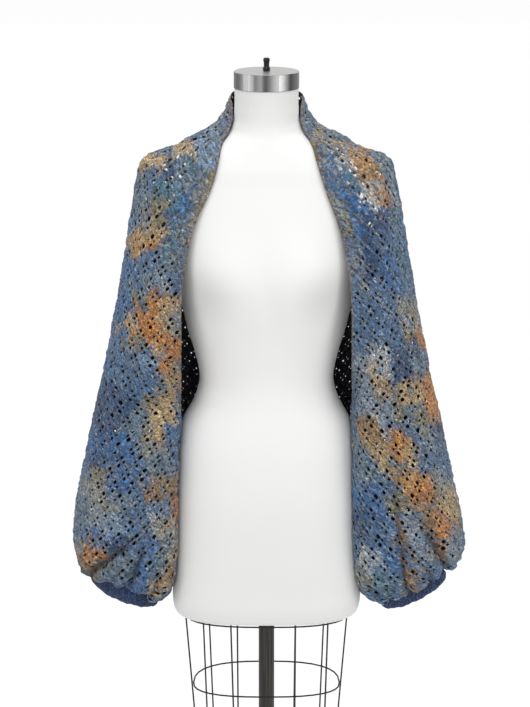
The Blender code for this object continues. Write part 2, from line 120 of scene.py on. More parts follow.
# ---- the shrug's surface, as the CAD has it ----
# The right half, from the middle of the back to where the sleeve closes.
Section = namedtuple("Section", "hem back fold front edge")
BODY = (
    Section((0.000, 0.124, 0.868), (0.000, 0.112, 1.065), (0.000, 0.114, 1.270),
            (0.000, 0.101, 1.425), (0.000, 0.062, 1.552)),
    Section((0.040, 0.123, 0.872), (0.050, 0.113, 1.072), (0.057, 0.114, 1.277),
            (0.052, 0.099, 1.432), (0.041, 0.048, 1.560)),
    Section((0.078, 0.115, 0.886), (0.096, 0.110, 1.090), (0.110, 0.108, 1.300),
            (0.088, 0.082, 1.457), (0.063, 0.014, 1.556)),
    Section((0.110, 0.100, 0.905), (0.138, 0.102, 1.115), (0.160, 0.088, 1.345),
            (0.113, 0.050, 1.481), (0.060, -0.016, 1.522)),
    Section((0.131, 0.080, 0.930), (0.172, 0.092, 1.145), (0.194, 0.048, 1.405),
            (0.144, 0.000, 1.481), (0.075, -0.052, 1.474)),
    Section((0.145, 0.058, 0.955), (0.199, 0.082, 1.175), (0.216, 0.006, 1.432),
            (0.168, -0.056, 1.442), (0.098, -0.079, 1.410)),
    Section((0.152, 0.036, 0.975), (0.220, 0.076, 1.175), (0.231, -0.004, 1.352),
            (0.184, -0.080, 1.345), (0.126, -0.092, 1.335)),
    Section((0.155, 0.016, 0.990), (0.232, 0.076, 1.130), (0.251, -0.005, 1.245),
            (0.202, -0.091, 1.240), (0.144, -0.087, 1.235)),
    Section((0.156, 0.000, 1.000), (0.240, 0.076, 1.065), (0.275, -0.006, 1.120),
            (0.214, -0.095, 1.115), (0.147, -0.078, 1.110)),
)
Ring = namedtuple("Ring", "x y z half_width half_depth tilt_deg skew corner")
SLEEVE = (
    Ring(0.2255, -0.0080, 1.000, 0.0745, 0.088, 0.0, 0.10, 2.5),
    Ring(0.2330, -0.0080, 0.915, 0.0815, 0.090, 0.0, 0.20, 2.6),
    Ring(0.2415, -0.0100, 0.830, 0.0875, 0.092, 2.0, 0.24, 2.7),
    Ring(0.2455, -0.0120, 0.762, 0.0915, 0.090, 6.0, 0.24, 2.7),
    Ring(0.2460, -0.0160, 0.715, 0.0890, 0.078, 12.0, 0.20, 2.5),
    Ring(0.2480, -0.0260, 0.690, 0.0720, 0.050, 20.0, 0.06, 2.3),
    Ring(0.2441, -0.0280, 0.697, 0.0585, 0.030, 24.0, 0.00, 2.1),
)
LAST = len(BODY) + len(SLEEVE) - 1
SEAM_AT = len(BODY) + 0.35  # the section of the seam between the body and a sleeve
CUFF_LEFT = (
    Ring(0.2437, -0.0280, 0.698, 0.0551, 0.0266, 24.0, 0.00, 2.1),
    Ring(0.2518, -0.0285, 0.683, 0.0613, 0.0300, 20.0, 0.00, 2.1),
    Ring(0.2465, -0.0300, 0.676, 0.0557, 0.0285, 18.5, 0.00, 2.1),
)
CUFF_RIGHT = (
    Ring(0.2437, -0.0280, 0.698, 0.0551, 0.0266, 24.0, 0.00, 2.1),
    Ring(0.2505, -0.0285, 0.688, 0.0600, 0.0285, 25.5, 0.00, 2.1),
    Ring(0.2560, -0.0300, 0.680, 0.0600, 0.0285, 26.5, 0.00, 2.1),
)
RIM_DROP = 0.012  # by which the front of a cuff's mouth hangs lower than its middle

# How finely curves are read before they are cut into even steps
SECTION_POINTS = 200
RING_POINTS = 401
LENGTH_POINTS = 1201

# The right sleeve hangs a little further out than the left.
SWING = 0.008
SWING_FROM = 1.00
SWING_TO = 0.76
SWING_INNER = 0.155
SWING_OUTER = 0.235
# The inner sides of the sleeves hang this much further from the form.
INNER_SHIFT = 0.0035
LEFT_INNER_SHIFT = 0.0035  # added on the left
INNER_FROM = 0.235  # the place outwards at which the shift begins, and how far in from there it is whole
INNER_REACH = 0.060
INNER_HEIGHTS = (0.92, 1.02)  # between which it fades out

# Where the front edge lies closer in: the height of the middle of such a stretch, and its reach up and down
Draw = namedtuple("Draw", "height reach shift")
COLLAR_DRAW = Draw(1.535, 0.055, 0.0032)
LEFT_CHEST_DRAW = Draw(1.425, 0.090, 0.0055)
DRAW_WIDTH = 0.060  # of the cloth that follows the edge

# Places where the cloth lies a little off the CAD's surface: where, how far around, and how far out and up
Nudge = namedtuple("Nudge", "x z reach_x reach_z out up")
SHOULDER_NUDGES = (
    Nudge(0.163, 1.465, 0.050, 0.045, 0.0, -0.0055),
    Nudge(0.212, 1.445, 0.026, 0.036, 0.0025, 0.0060),
)
RIGHT_CUFF_NUDGES = (Nudge(0.320, 0.706, 0.040, 0.036, -0.0095, 0.0060),)

# Flutes of the back, up from the hem. Their places and half widths are counted in sections of the cloth.
Flute = namedtuple("Flute", "along half_width depth reach")
FLUTES = (
    Flute(0.0, 0.55, 0.010, 0.30),
    Flute(1.6, 0.45, 0.009, 0.26),
    Flute(3.0, 0.50, 0.008, 0.22),
)

# ---- the lace ----
# Clusters of four eyelets stand in a diamond lattice, with solid diamonds between them.
ACROSS_STEPS = 216  # mesh steps from the front edge round to the hem
FRONT_COLUMNS = slice(8, 80, 12)  # mesh columns in front, along which the length of a row is measured
CLUSTER_ROWS = 9  # mesh steps from one row of clusters to the next
FIRST_CLUSTER = 5  # the mesh row of the first clusters, from the middle of the back
REPEAT_WIDTH = 0.0315  # from one cluster to the next beside it
REPEAT_LENGTH = 0.0470  # from one cluster to the next but one below it
THICKNESS = 0.0024
EDGE_THINNING = 0.45  # share of the thickness left at the rim of an eyelet or an edge
PUFF = 0.0017  # height of the solid diamonds over the clusters
PUFF_SPAN = (0.10, 0.95)  # where they rise, on the way from a cluster (0) to a solid diamond's middle (1)
PUFF_LEVEL = 0.45  # the share of that height that lies below the middle surface
STRAND = 0.0010  # height of the leaning strands through the clusters
STRAND_WIDTH = 0.050  # half their width, in repeats
CROSSING_WIDTH = 0.045  # the same of the strands that cross them
CROSSING_SHARE = 0.4  # of the leaning strands' height, for those
FUZZ = 0.00030  # random height of single stitches

# A row is one eyelet of a cluster: its place from the middle of the cluster, outwards from the front edge and
# down towards the cuff, its half width and half length, and where its middle lies in mesh steps.
Eyelet = namedtuple("Eyelet", "out down half_width half_length column_steps row_steps")
EYELETS = (
    Eyelet(0.0, -0.0078, 0.0027, 0.0047, 0, -3),
    Eyelet(0.0, 0.0076, 0.0024, 0.0040, 0, 3),
    Eyelet(-0.0058, 0.0, 0.0018, 0.0031, -2, 0),
    Eyelet(0.0058, 0.0, 0.0018, 0.0031, 2, 0),
)
LEFT_LEAN = math.radians(23)  # of the eyelets from the wales; their tops lean to the front edge
RIGHT_LEAN = math.radians(12)
SHOULDER_LEAN = math.radians(20)  # added over the shoulders, where the cloth is drawn askew
SHOULDER_SIZE = 1.10  # of the eyelets there, as a share of the others
SHOULDER_AT = 4.6  # the section of the cloth in the middle of a shoulder
SHOULDER_REACH = 1.9
EYELET_SIZES = (0.68, 1.30)  # smallest and largest, as a share of the size above
EYELET_STRAY = 0.0007
CORNER_PULL = 0.88  # how far the corners between an eyelet's ends are drawn in
# The section of the right arm whose back has eyelets as large as its front, so that light shows through
SEEN_THROUGH_AT = 6.7
SEEN_THROUGH_REACH = 1.9
SEEN_THROUGH = 1.5  # how strongly: from 1 up they are as large in the middle, and larger
BEHIND_FACING = 0.5  # how squarely the cloth faces the back where it counts as wholly behind
BEHIND_SIZE = 0.42  # of the eyelets where the cloth hangs slack behind, as a share of those in front
MIDDLE_SIZE = 0.85  # the same on the middle of the back, behind the form
MIDDLE = (0.070, 0.105)  # where the one turns into the other, out from the middle
GATHERED_ROWS = 46  # rows over a cuff in which the eyelets behind are drawn shut
GATHERED_FACING = 0.3  # how far behind the cloth is, from 0 to 1, where they are
CLOSED_SHARE = 0.03  # of the eyelets, drawn shut
SETTLING_ROUNDS = 80  # of evening out how the mesh between the eyelets gives way to them

# How the wales turn away from the front edge on their way down. A row is a section of the cloth and the slope
# of the wales there.
WALE_SLOPES = (
    (0.00, 0.00), (4.20, 0.00), (4.60, -0.16), (5.40, -0.07), (6.20, 0.00), (7.20, 0.15), (7.60, 0.21),
    (8.00, 0.32), (8.25, 0.60), (8.50, 0.80), (8.90, 0.84), (9.20, 0.60), (9.45, 0.27), (10.20, 0.31),
    (10.80, 0.30), (11.50, 0.19), (12.00, 0.00), (12.40, -0.36), (13.00, -0.36), (15.00, 0.00),
)
LEAN_ROWS = 60  # rows from the middle of the back over which the lean of the eyelets grows in

# Folds above the cuffs. A row is one trough: its place round the sleeve (0 at the inner side, 0.25 in front,
# 0.5 at the outer side) at the cuff and at its top, how far up it reaches and where it is deepest, both from
# the cuff, its half width and its depth.
Crease = namedtuple("Crease", "at_cuff at_top reach deepest_at half_width depth")
LEFT_CREASES = (
    Crease(0.470, 0.205, 0.175, 0.085, 0.0115, 0.0150),
    Crease(0.272, 0.186, 0.210, 0.085, 0.0090, 0.0100),
    Crease(0.136, 0.168, 0.105, 0.040, 0.0085, 0.0095),
    Crease(0.070, 0.085, 0.070, 0.020, 0.007, 0.0060),
    Crease(0.350, 0.300, 0.065, 0.022, 0.008, 0.0060),
    Crease(0.560, 0.520, 0.080, 0.030, 0.010, 0.0080),
    Crease(0.640, 0.680, 0.140, 0.060, 0.012, 0.0120),
    Crease(0.730, 0.720, 0.100, 0.030, 0.009, 0.0080),
    Crease(0.810, 0.840, 0.150, 0.060, 0.011, 0.0110),
    Crease(0.900, 0.880, 0.080, 0.025, 0.008, 0.0070),
)
RIGHT_CREASES = (
    Crease(0.246, 0.246, 0.320, 0.090, 0.0085, 0.0085),
    Crease(0.440, 0.285, 0.200, 0.120, 0.0120, 0.0125),
    Crease(0.350, 0.315, 0.095, 0.050, 0.0090, 0.0070),
    Crease(0.520, 0.420, 0.100, 0.050, 0.0095, 0.0060),
    Crease(0.080, 0.060, 0.080, 0.025, 0.008, 0.0065),
    Crease(0.150, 0.130, 0.090, 0.030, 0.008, 0.0070),
    Crease(0.610, 0.590, 0.140, 0.060, 0.012, 0.0120),
    Crease(0.700, 0.730, 0.100, 0.030, 0.009, 0.0080),
    Crease(0.790, 0.770, 0.150, 0.060, 0.011, 0.0110),
    Crease(0.880, 0.900, 0.080, 0.025, 0.008, 0.0070),
)
FOLD_RUN_OUT = 3.2  # how slowly a trough runs out below its deepest place, as a multiple of its height
FOLD_WIDTHS = (0.75, 0.60)  # of its half width at the cuff, and what is added up to its top
RIDGE = 0.42  # height of the ridge on either side of a trough, as a share of its depth
RIDGE_AT = 1.8  # half widths from its middle
# How much higher the folds over a cuff and their seam sit than in the CAD, and where round the sleeve
Lift = namedtuple("Lift", "height seam at half_width")
LEFT_LIFT = Lift(0.012, 0.009, 0.25, 0.20)
RIGHT_LIFT = Lift(0.018, 0.015, 0.41, 0.15)
LIFT_REACH = 0.022  # from the cuff to the middle of a lift, and from there to its top
CREASE_SHADE = 0.45  # painted shade: how much darker the colour at the bottom of a trough is
CREASE_SHADE_DEPTH = 0.010  # of a trough that has this whole painted shade
GATHERS = 15  # small gathers round a cuff
GATHER_DEPTH = 0.0011
GATHER_REACH = 0.034
GATHER_STRAY = 2.2  # how unevenly they stand

# ---- yarn colours ----
YARN = {
    "denim": (80, 110, 144),
    "deep": (42, 74, 114),
    "bright": (56, 102, 152),
    "light": (116, 144, 172),
    "slate": (98, 120, 138),
    "steel": (130, 146, 162),
    "teal": (74, 114, 136),
    "olive": (122, 116, 94),
    "grey": (138, 140, 136),
    "pale": (168, 174, 176),
    "cream": (208, 204, 196),
    "tan": (172, 148, 110),
    "peach": (188, 160, 120),
    "brown": (144, 114, 78),
    "amber": (176, 134, 84),
    "orange": (184, 122, 60),
    "rust": (168, 110, 58),
}
GROUND = "denim"
GROUND_SHARE = 0.001
# painted shade: the dark colour of the cloth's inner face, for the shade inside it
INNER_PAINTED_SHADE = (10, 14, 30)
CUFF_YARN = (38, 56, 92)

# Patches where one colour of the yarn pools. A row is one patch: its column and row in the picture, its half
# width and half height there, how far its top leans to the right, in degrees, and its colour.
Patch = namedtuple("Patch", "column row half_width half_height lean_deg colour")
PATCHES = tuple(Patch(*row) for row in (
    # left shoulder
    (231, 99, 5, 7, 0, "denim"), (226, 109, 4, 4, 40, "tan"), (222, 118, 6, 6, 20, "denim"),
    (213, 124, 7, 2, 55, "olive"), (214, 130, 10, 4, 50, "light"), (221, 141, 6, 8, 20, "slate"),
    (186, 149, 14, 6, 60, "peach"), (179, 154, 8, 5, 60, "tan"), (168, 150, 8, 5, 60, "denim"),
    (155, 160, 9, 6, 50, "peach"), (140, 165, 7, 6, 30, "tan"), (168, 165, 9, 8, 40, "deep"),
    (189, 160, 11, 8, 40, "teal"), (206, 155, 10, 12, 25, "light"), (149, 182, 8, 10, 20, "denim"),
    (169, 192, 13, 10, 30, "teal"), (142, 205, 6, 8, 10, "slate"), (184, 182, 9, 9, 20, "slate"),
    (139, 194, 7, 18, 10, "slate"), (192, 200, 8, 11, 20, "bright"), (211, 174, 5, 8, 25, "olive"),
    (205, 188, 6, 9, 25, "grey"), (198, 205, 6, 10, 25, "olive"), (191, 222, 6, 10, 20, "grey"),
    (187, 238, 4, 8, 20, "tan"), (158, 208, 9, 8, 10, "olive"), (164, 219, 9, 8, 10, "olive"),
    (157, 228, 9, 7, 10, "tan"), (177, 212, 6, 9, 20, "bright"), (133, 222, 7, 13, 10, "denim"),
    # left arm
    (151, 240, 8, 6, 20, "orange"), (137, 245, 6, 6, 10, "amber"), (143, 234, 7, 5, 20, "tan"),
    (132, 242, 5, 7, 10, "tan"), (165, 233, 8, 7, 10, "tan"), (173, 243, 5, 9, 10, "teal"),
    (186, 235, 6, 10, 15, "slate"), (150, 262, 9, 8, 0, "denim"), (170, 260, 8, 9, 0, "slate"),
    (129, 264, 6, 10, 10, "bright"), (161, 277, 9, 7, 0, "steel"), (178, 278, 5, 9, 0, "denim"),
    (123, 302, 6, 14, 8, "bright"), (139, 289, 9, 7, 0, "slate"), (141, 299, 8, 5, 20, "olive"),
    (155, 303, 10, 7, 15, "orange"), (169, 301, 9, 10, 10, "tan"), (130, 325, 7, 5, 30, "peach"),
    (150, 325, 12, 9, 20, "orange"), (165, 324, 8, 8, 0, "tan"), (178, 328, 4, 8, 0, "grey"),
    (158, 339, 10, 8, 20, "orange"), (173, 349, 7, 10, 0, "rust"), (160, 350, 6, 4, 30, "peach"),
    (123, 352, 10, 10, 15, "denim"), (135, 343, 6, 6, 0, "olive"), (148, 362, 9, 6, 15, "light"),
    (112, 364, 5, 6, 0, "bright"), (166, 366, 5, 6, 10, "orange"), (173, 374, 7, 8, 0, "tan"),
    (135, 378, 20, 15, 15, "denim"), (158, 384, 6, 6, 20, "slate"), (169, 391, 8, 12, 10, "tan"),
    (144, 391, 7, 10, 15, "bright"), (151, 401, 7, 8, 25, "olive"), (163, 413, 11, 12, 25, "peach"),
    (157, 431, 8, 9, 20, "tan"), (174, 427, 5, 12, 5, "bright"), (111, 408, 18, 22, 12, "deep"),
    (137, 424, 12, 13, 15, "slate"),
    # left sleeve
    (113, 450, 24, 13, 15, "bright"), (100, 458, 9, 9, 15, "deep"), (146, 448, 10, 9, 30, "grey"),
    (131, 466, 12, 11, 20, "denim"), (174, 455, 5, 14, 0, "denim"), (160, 465, 8, 12, 10, "slate"),
    (100, 474, 8, 9, 30, "olive"), (93, 487, 9, 8, 30, "grey"), (120, 478, 10, 8, 20, "bright"),
    (154, 487, 4, 13, 10, "brown"), (163, 489, 3, 12, 10, "slate"), (172, 487, 5, 12, 5, "brown"),
    (106, 505, 17, 8, 30, "grey"), (98, 520, 14, 8, 25, "steel"), (92, 530, 10, 5, 25, "bright"),
    (85, 515, 6, 14, 10, "slate"), (135, 516, 12, 15, 20, "denim"), (175, 514, 3, 16, 0, "orange"),
    (156, 519, 3, 4, 0, "pale"), (165, 532, 8, 12, 10, "grey"), (112, 530, 9, 7, 30, "light"),
    (85, 554, 8, 8, 25, "rust"), (98, 554, 7, 4, 30, "orange"), (90, 566, 8, 5, 10, "brown"),
    (80, 546, 5, 5, 10, "grey"), (116, 544, 12, 7, 50, "deep"), (122, 563, 12, 12, 35, "slate"),
    (148, 549, 4, 14, 20, "bright"), (140, 576, 8, 13, 30, "bright"), (163, 555, 8, 15, 15, "slate"),
    (174, 553, 3, 16, 0, "tan"), (157, 589, 6, 6, 30, "tan"), (168, 573, 6, 8, 20, "brown"),
    (99, 574, 5, 4, 30, "olive"),
    # right shoulder
    (304, 103, 5, 7, 0, "slate"), (312, 117, 7, 7, -20, "slate"), (320, 136, 5, 6, -30, "tan"),
    (334, 133, 13, 7, -50, "slate"), (315, 152, 5, 9, -20, "olive"), (338, 143, 7, 5, -40, "tan"),
    (341, 147, 8, 4, -50, "tan"), (356, 156, 12, 6, -50, "amber"), (358, 158, 5, 4, -50, "orange"),
    (347, 163, 7, 5, -40, "steel"), (366, 167, 8, 6, -40, "amber"), (374, 177, 6, 6, -20, "amber"),
    (379, 159, 9, 7, -50, "slate"), (388, 174, 6, 13, -15, "slate"), (340, 169, 5, 5, -20, "pale"),
    (328, 168, 6, 8, -25, "denim"), (346, 187, 9, 14, -25, "bright"), (357, 177, 8, 8, -25, "teal"),
    (370, 197, 8, 8, -10, "pale"), (366, 196, 5, 5, -20, "cream"), (385, 199, 4, 6, -10, "orange"),
    (383, 189, 5, 5, -10, "grey"), (395, 203, 4, 16, -10, "steel"), (358, 208, 9, 10, -20, "bright"),
    (344, 213, 4, 14, -25, "grey"), (346, 229, 5, 8, -15, "olive"), (377, 223, 14, 12, -10, "deep"),
    (359, 229, 7, 12, -20, "bright"), (393, 219, 6, 10, -10, "teal"),
    # right arm
    (369, 262, 13, 16, -10, "deep"), (389, 274, 12, 14, -10, "bright"), (404, 268, 6, 12, -10, "teal"),
    (354, 262, 5, 14, 0, "steel"), (365, 274, 3, 18, 0, "grey"), (357, 310, 7, 32, 0, "denim"),
    (377, 305, 12, 14, -10, "denim"), (402, 307, 9, 9, -10, "grey"), (418, 314, 3, 8, -10, "brown"),
    (415, 324, 5, 4, -20, "pale"), (420, 337, 7, 8, -15, "orange"), (411, 333, 6, 7, -10, "olive"),
    (386, 337, 12, 12, -10, "denim"), (402, 354, 11, 10, -10, "deep"), (404, 374, 8, 9, -10, "deep"),
    (418, 362, 5, 8, -10, "slate"), (375, 355, 8, 8, -15, "pale"), (378, 377, 7, 12, -15, "peach"),
    (374, 368, 5, 5, 0, "pale"), (378, 372, 4, 9, -15, "cream"), (389, 366, 4, 13, -10, "light"),
    (363, 377, 7, 14, 0, "steel"), (384, 387, 4, 8, -15, "brown"), (431, 386, 6, 11, -10, "orange"),
    (432, 411, 6, 12, -10, "orange"), (415, 394, 9, 10, -20, "tan"), (400, 406, 8, 9, -20, "olive"),
    (409, 418, 6, 8, -10, "slate"), (374, 409, 10, 10, -10, "steel"), (369, 426, 9, 8, -10, "brown"),
    (386, 417, 5, 10, -10, "steel"),
    # right sleeve
    (381, 428, 6, 6, -10, "pale"), (375, 446, 12, 9, -20, "tan"), (427, 424, 9, 7, -20, "olive"),
    (413, 431, 6, 8, -20, "denim"), (400, 446, 8, 10, -25, "orange"), (409, 453, 6, 8, -25, "tan"),
    (445, 437, 8, 15, -12, "deep"), (428, 441, 8, 8, -20, "steel"), (429, 465, 10, 8, -25, "denim"),
    (445, 464, 9, 17, -12, "denim"), (362, 455, 8, 8, -10, "slate"), (387, 466, 7, 12, -25, "tan"),
    (371, 462, 6, 8, -20, "denim"), (398, 467, 5, 6, -20, "teal"), (410, 479, 9, 9, -30, "amber"),
    (421, 484, 8, 7, -30, "orange"), (421, 498, 12, 7, -40, "rust"), (425, 505, 10, 5, -45, "brown"),
    (442, 483, 9, 8, -25, "grey"), (449, 502, 7, 13, -20, "tan"), (368, 475, 8, 8, -20, "slate"),
    (368, 505, 13, 16, -20, "bright"), (385, 523, 8, 11, -20, "denim"), (361, 518, 10, 12, -10, "deep"),
    (403, 503, 8, 9, -25, "olive"), (403, 540, 4, 20, -12, "brown"), (413, 582, 7, 13, -15, "brown"),
    (416, 535, 5, 13, -20, "steel"), (423, 553, 5, 11, -15, "steel"), (428, 523, 7, 8, -20, "brown"),
    (444, 525, 8, 10, -15, "orange"), (458, 530, 3, 12, 0, "slate"), (453, 552, 6, 8, 0, "steel"),
    (441, 551, 7, 9, -10, "brown"), (432, 542, 3, 9, -10, "denim"), (366, 564, 8, 8, -20, "pale"),
    (375, 570, 6, 8, -20, "steel"), (393, 559, 13, 14, -20, "bright"), (380, 583, 8, 8, -30, "teal"),
    (364, 577, 6, 8, -20, "grey"), (397, 577, 8, 12, -15, "denim"),
))
PATCH_FALL = 2.4  # how steeply a patch's share falls off from its middle
MIDDLE_COLUMN = 266.5  # of the form in the picture
BACK_SHIFT = 21  # rows by which the patches of the hidden sides sit lower than their mirror images

# The middle of the back, which no mirror image reaches, has patches strewn in rows.
BACK_COLUMNS = range(196, 340, 15)
BACK_ROWS = range(84, 520, 14)
BACK_STRAY = 5  # how far a patch strays from its place, and by how much sizes differ
BACK_SIZE = (9, 8)
BACK_LEAN = 18
BACK_YARNS = (
    "denim", "denim", "bright", "deep", "deep", "slate", "slate", "teal", "steel", "light", "olive", "grey",
    "tan", "tan", "amber", "orange", "brown",
)
ROW_SHIFT = 1.0  # columns by which the colours of single rows of stitches shift
STRAND_SHIFT = 4.0  # columns by which the colours of single leaning strands shift along them
STRAND_LEAN = math.radians(38)  # of those strands in the picture, from upright
STRANDS = 4000  # that get a shift of their own
Waves = namedtuple("Waves", "size count longest shortest")
WANDER = Waves(4.2, 7, 34, 9)  # columns by which the edges of the patches wander
SPECKLE = 2.6  # columns by which the colours of single stitches stray
MOTTLE = 0.33  # how unevenly light single stitches are
# How squarely the cloth faces the camera where the back's colours turn into the front's
FACING = (-0.35, 0.05)
FLECK = (190, 176, 146)  # pale flecks of the yarn
FLECK_SHARE = 0.07
FLECK_MIX = 0.45  # how much of a fleck's colour such a stitch has
PIT_SHARE = 0.17  # of the stitches, the ones that are deep gaps between strands, which get painted shade
PIT_PAINTED_SHADE = 0.45
EDGE_SHARE = 0.6  # of brown in the outermost stitches of the front edge
EDGE_STEPS = 1.4  # mesh steps over which it fades
EYELET_PAINTED_LIGHT = 0.30  # painted light: how much lighter the stitches below and outside an eyelet are
STITCHES = 12  # stitches across a repeat
COURSES = 18  # rows of stitches down a repeat
UNEVEN = (Waves(0.0009, 9, 44, 20), Waves(0.0007, 9, 12, 6))  # rises and dips of the cloth
INSIDE_MOTTLE = 0.3
INSIDE_SHARES = (0.8, 0.06)  # of that dark colour and of the outer face's, on the inner face
BACK_SHARE = 0.36  # of the rows from the middle of the back to a sleeve's seam, the ones of knit_back

SEED = 11


# ---- curves and sections ----
def smooth(knots, rows, at):
    """Rows given at the knots, read at the places `at` on one smooth curve through them."""
    knots, rows, at = (np.asarray(values, float) for values in (knots, rows, at))
    slopes = np.gradient(rows, knots, axis=0)
    first = np.clip(np.searchsorted(knots, at, side="right") - 1, 0, len(knots) - 2)
    spread = (-1,) + (1,) * (rows.ndim - 1)
    step = (knots[first + 1] - knots[first]).reshape(spread)
    part = ((at - knots[first]) / (knots[first + 1] - knots[first])).reshape(spread)
    rise = part * part * (3 - 2 * part)
    leave = part * (1 - part) ** 2
    arrive = part * part * (part - 1)
    start, end = rows[first], rows[first + 1]
    return start + (end - start) * rise + step * (leave * slopes[first] + arrive * slopes[first + 1])


def lengths_along(points, power=1.0):
    return np.concatenate([[0.0], np.cumsum(np.linalg.norm(np.diff(points, axis=0), axis=1) ** power)])


def spaced_evenly(points, steps):
    along = lengths_along(points)
    at = np.linspace(0, along[-1], steps + 1)
    return np.stack([np.interp(at, along, points[:, axis]) for axis in range(3)], axis=1)


def rounded(angle, corner):
    cosine, sine = np.cos(angle), np.sin(angle)
    power = 2 / corner
    return np.sign(cosine) * np.abs(cosine) ** power, np.sign(sine) * np.abs(sine) ** power


def bump(distance):
    """1 in the middle, falling smoothly to 0 at a distance of 1."""
    return np.cos(np.clip(np.abs(distance), 0, 1) * math.pi / 2) ** 2


def eased(low, high, value):
    part = np.clip((value - low) / (high - low), 0, 1)
    return part * part * (3 - 2 * part)


def wrapped(value, period):
    """The value, brought to within half a period of 0."""
    return (value + period / 2) % period - period / 2


def torso_level(height):
    """(half_width, front, back, corner) of the form at each height."""
    table = np.array(TORSO)[::-1]
    height = np.clip(height, table[0, 0], table[-1, 0])
    return smooth(table[:, 0], table[:, 1:], height).T


def bust(side, height):
    away = (np.abs(side) - BUST_SIDE) ** 2 + (height - BUST_HEIGHT) ** 2
    return BUST_OUT * np.exp(-away / (2 * BUST_SPREAD**2))


def beyond_torso(points):
    x, y, z = points.T
    half_width, front, back, corner = torso_level(z)
    depth = np.where(y < 0, front + bust(x, z), back)
    return (np.abs(x / half_width) ** corner + np.abs(y / depth) ** corner) ** (1 / corner) - 1


def kept_clear(points):
    """The points, with those that lie inside the form or too close to it moved out."""
    shape = points.shape
    points = points.reshape(-1, 3).copy()
    for _ in range(CLEARING_ROUNDS):
        value = beyond_torso(points)
        slope = np.stack([(beyond_torso(points + step) - value) / TINY for step in np.eye(3) * TINY], axis=1)
        steepness = np.maximum(np.linalg.norm(slope, axis=1), 1e-6)
        short = np.clip(CLEARANCE - value / steepness, 0, CLEARING_STEP)
        points += slope * (short / steepness)[:, None]
    return points.reshape(shape)


def body_section(row):
    points = np.array(row)
    knots = lengths_along(points, 0.5)
    return smooth(knots, points, np.linspace(0, knots[-1], SECTION_POINTS))


def sleeve_section(row):
    """The inner side, the back, the outer side, the front and the inner side again."""
    x, y, z, half_width, half_depth, tilt, skew, corner = row
    across, deep = rounded(np.linspace(math.pi, -math.pi, RING_POINTS), corner)
    across, deep = across * half_width + skew * deep * half_depth, deep * half_depth
    tilt = math.radians(tilt)
    return np.stack([x + across * math.cos(tilt), y + deep, z + across * math.sin(tilt)], axis=1)


def swung_out(points):
    points = points.copy()
    x, z = points[..., 0], points[..., 2]
    down = np.clip((SWING_FROM - z) / (SWING_FROM - SWING_TO), 0, 1)
    out = np.clip((x - SWING_INNER) / (SWING_OUTER - SWING_INNER), 0, 1)
    points[..., 0] += SWING * down**2 * out
    return points


def inner_side_shifted(points, shift):
    points = points.copy()
    inner = np.clip((INNER_FROM - points[..., 0]) / INNER_REACH, 0, 1)
    points[..., 0] += shift * inner * (1 - eased(*INNER_HEIGHTS, points[..., 2]))
    return points


def edge_drawn_in(points, draw):
    """The front edge moved towards the middle of the form, over a short stretch."""
    points = points.copy()
    from_edge = np.linalg.norm(points - points[:, :1], axis=2)
    near = bump((points[:, :1, 2] - draw.height) / draw.reach)
    points[..., 0] -= draw.shift * near * (1 - eased(0, DRAW_WIDTH, from_edge))
    return points


def nudged(points, nudges):
    points = points.copy()
    for nudge in nudges:
        beside = (np.abs(points[..., 0]) - nudge.x) / nudge.reach_x
        above = (points[..., 2] - nudge.z) / nudge.reach_z
        near = bump(beside) * bump(above)
        points[..., 0] += nudge.out * near * np.sign(points[..., 0])
        points[..., 2] += nudge.up * near
    return points


def fluted(points, along):
    points = points.copy()
    above_hem = np.linalg.norm(points - points[:, -1:], axis=2)
    for flute in FLUTES:
        ridge = bump((along - flute.along) / flute.half_width)
        points[..., 1] += flute.depth * ridge[:, None] * bump(above_hem / flute.reach)
    return points


# ---- the right half of the cloth as a grid ----
def half_grid():
    """The section of each mesh row, the points, the length of a row's step, and the row of the sleeve's seam.

    Row 0 is the middle of the back. Column 0 is the front edge, and the last column is the hem.
    """
    sections = [body_section(row) for row in BODY] + [sleeve_section(row) for row in SLEEVE]
    coarse = np.stack([spaced_evenly(section, ACROSS_STEPS) for section in sections])[:, ::-1]
    knots = np.arange(len(coarse))
    fine = np.linspace(0, LAST, LENGTH_POINTS)
    front_lines = smooth(knots, coarse[:, FRONT_COLUMNS], fine)
    steps = np.linalg.norm(np.diff(front_lines, axis=0), axis=2).mean(axis=1)
    length = np.concatenate([[0.0], np.cumsum(steps)])
    rows = round(length[-1] / (REPEAT_LENGTH / 2 / CLUSTER_ROWS))
    seam_row = round(np.interp(SEAM_AT, fine, length) / length[-1] * rows)
    along = np.interp(np.linspace(0, length[-1], rows + 1), length, fine)
    points = inner_side_shifted(smooth(knots, coarse, along), INNER_SHIFT)
    points = edge_drawn_in(fluted(kept_clear(points), along), COLLAR_DRAW)
    points = nudged(points, SHOULDER_NUDGES)
    return along, points, length[-1] / rows, seam_row


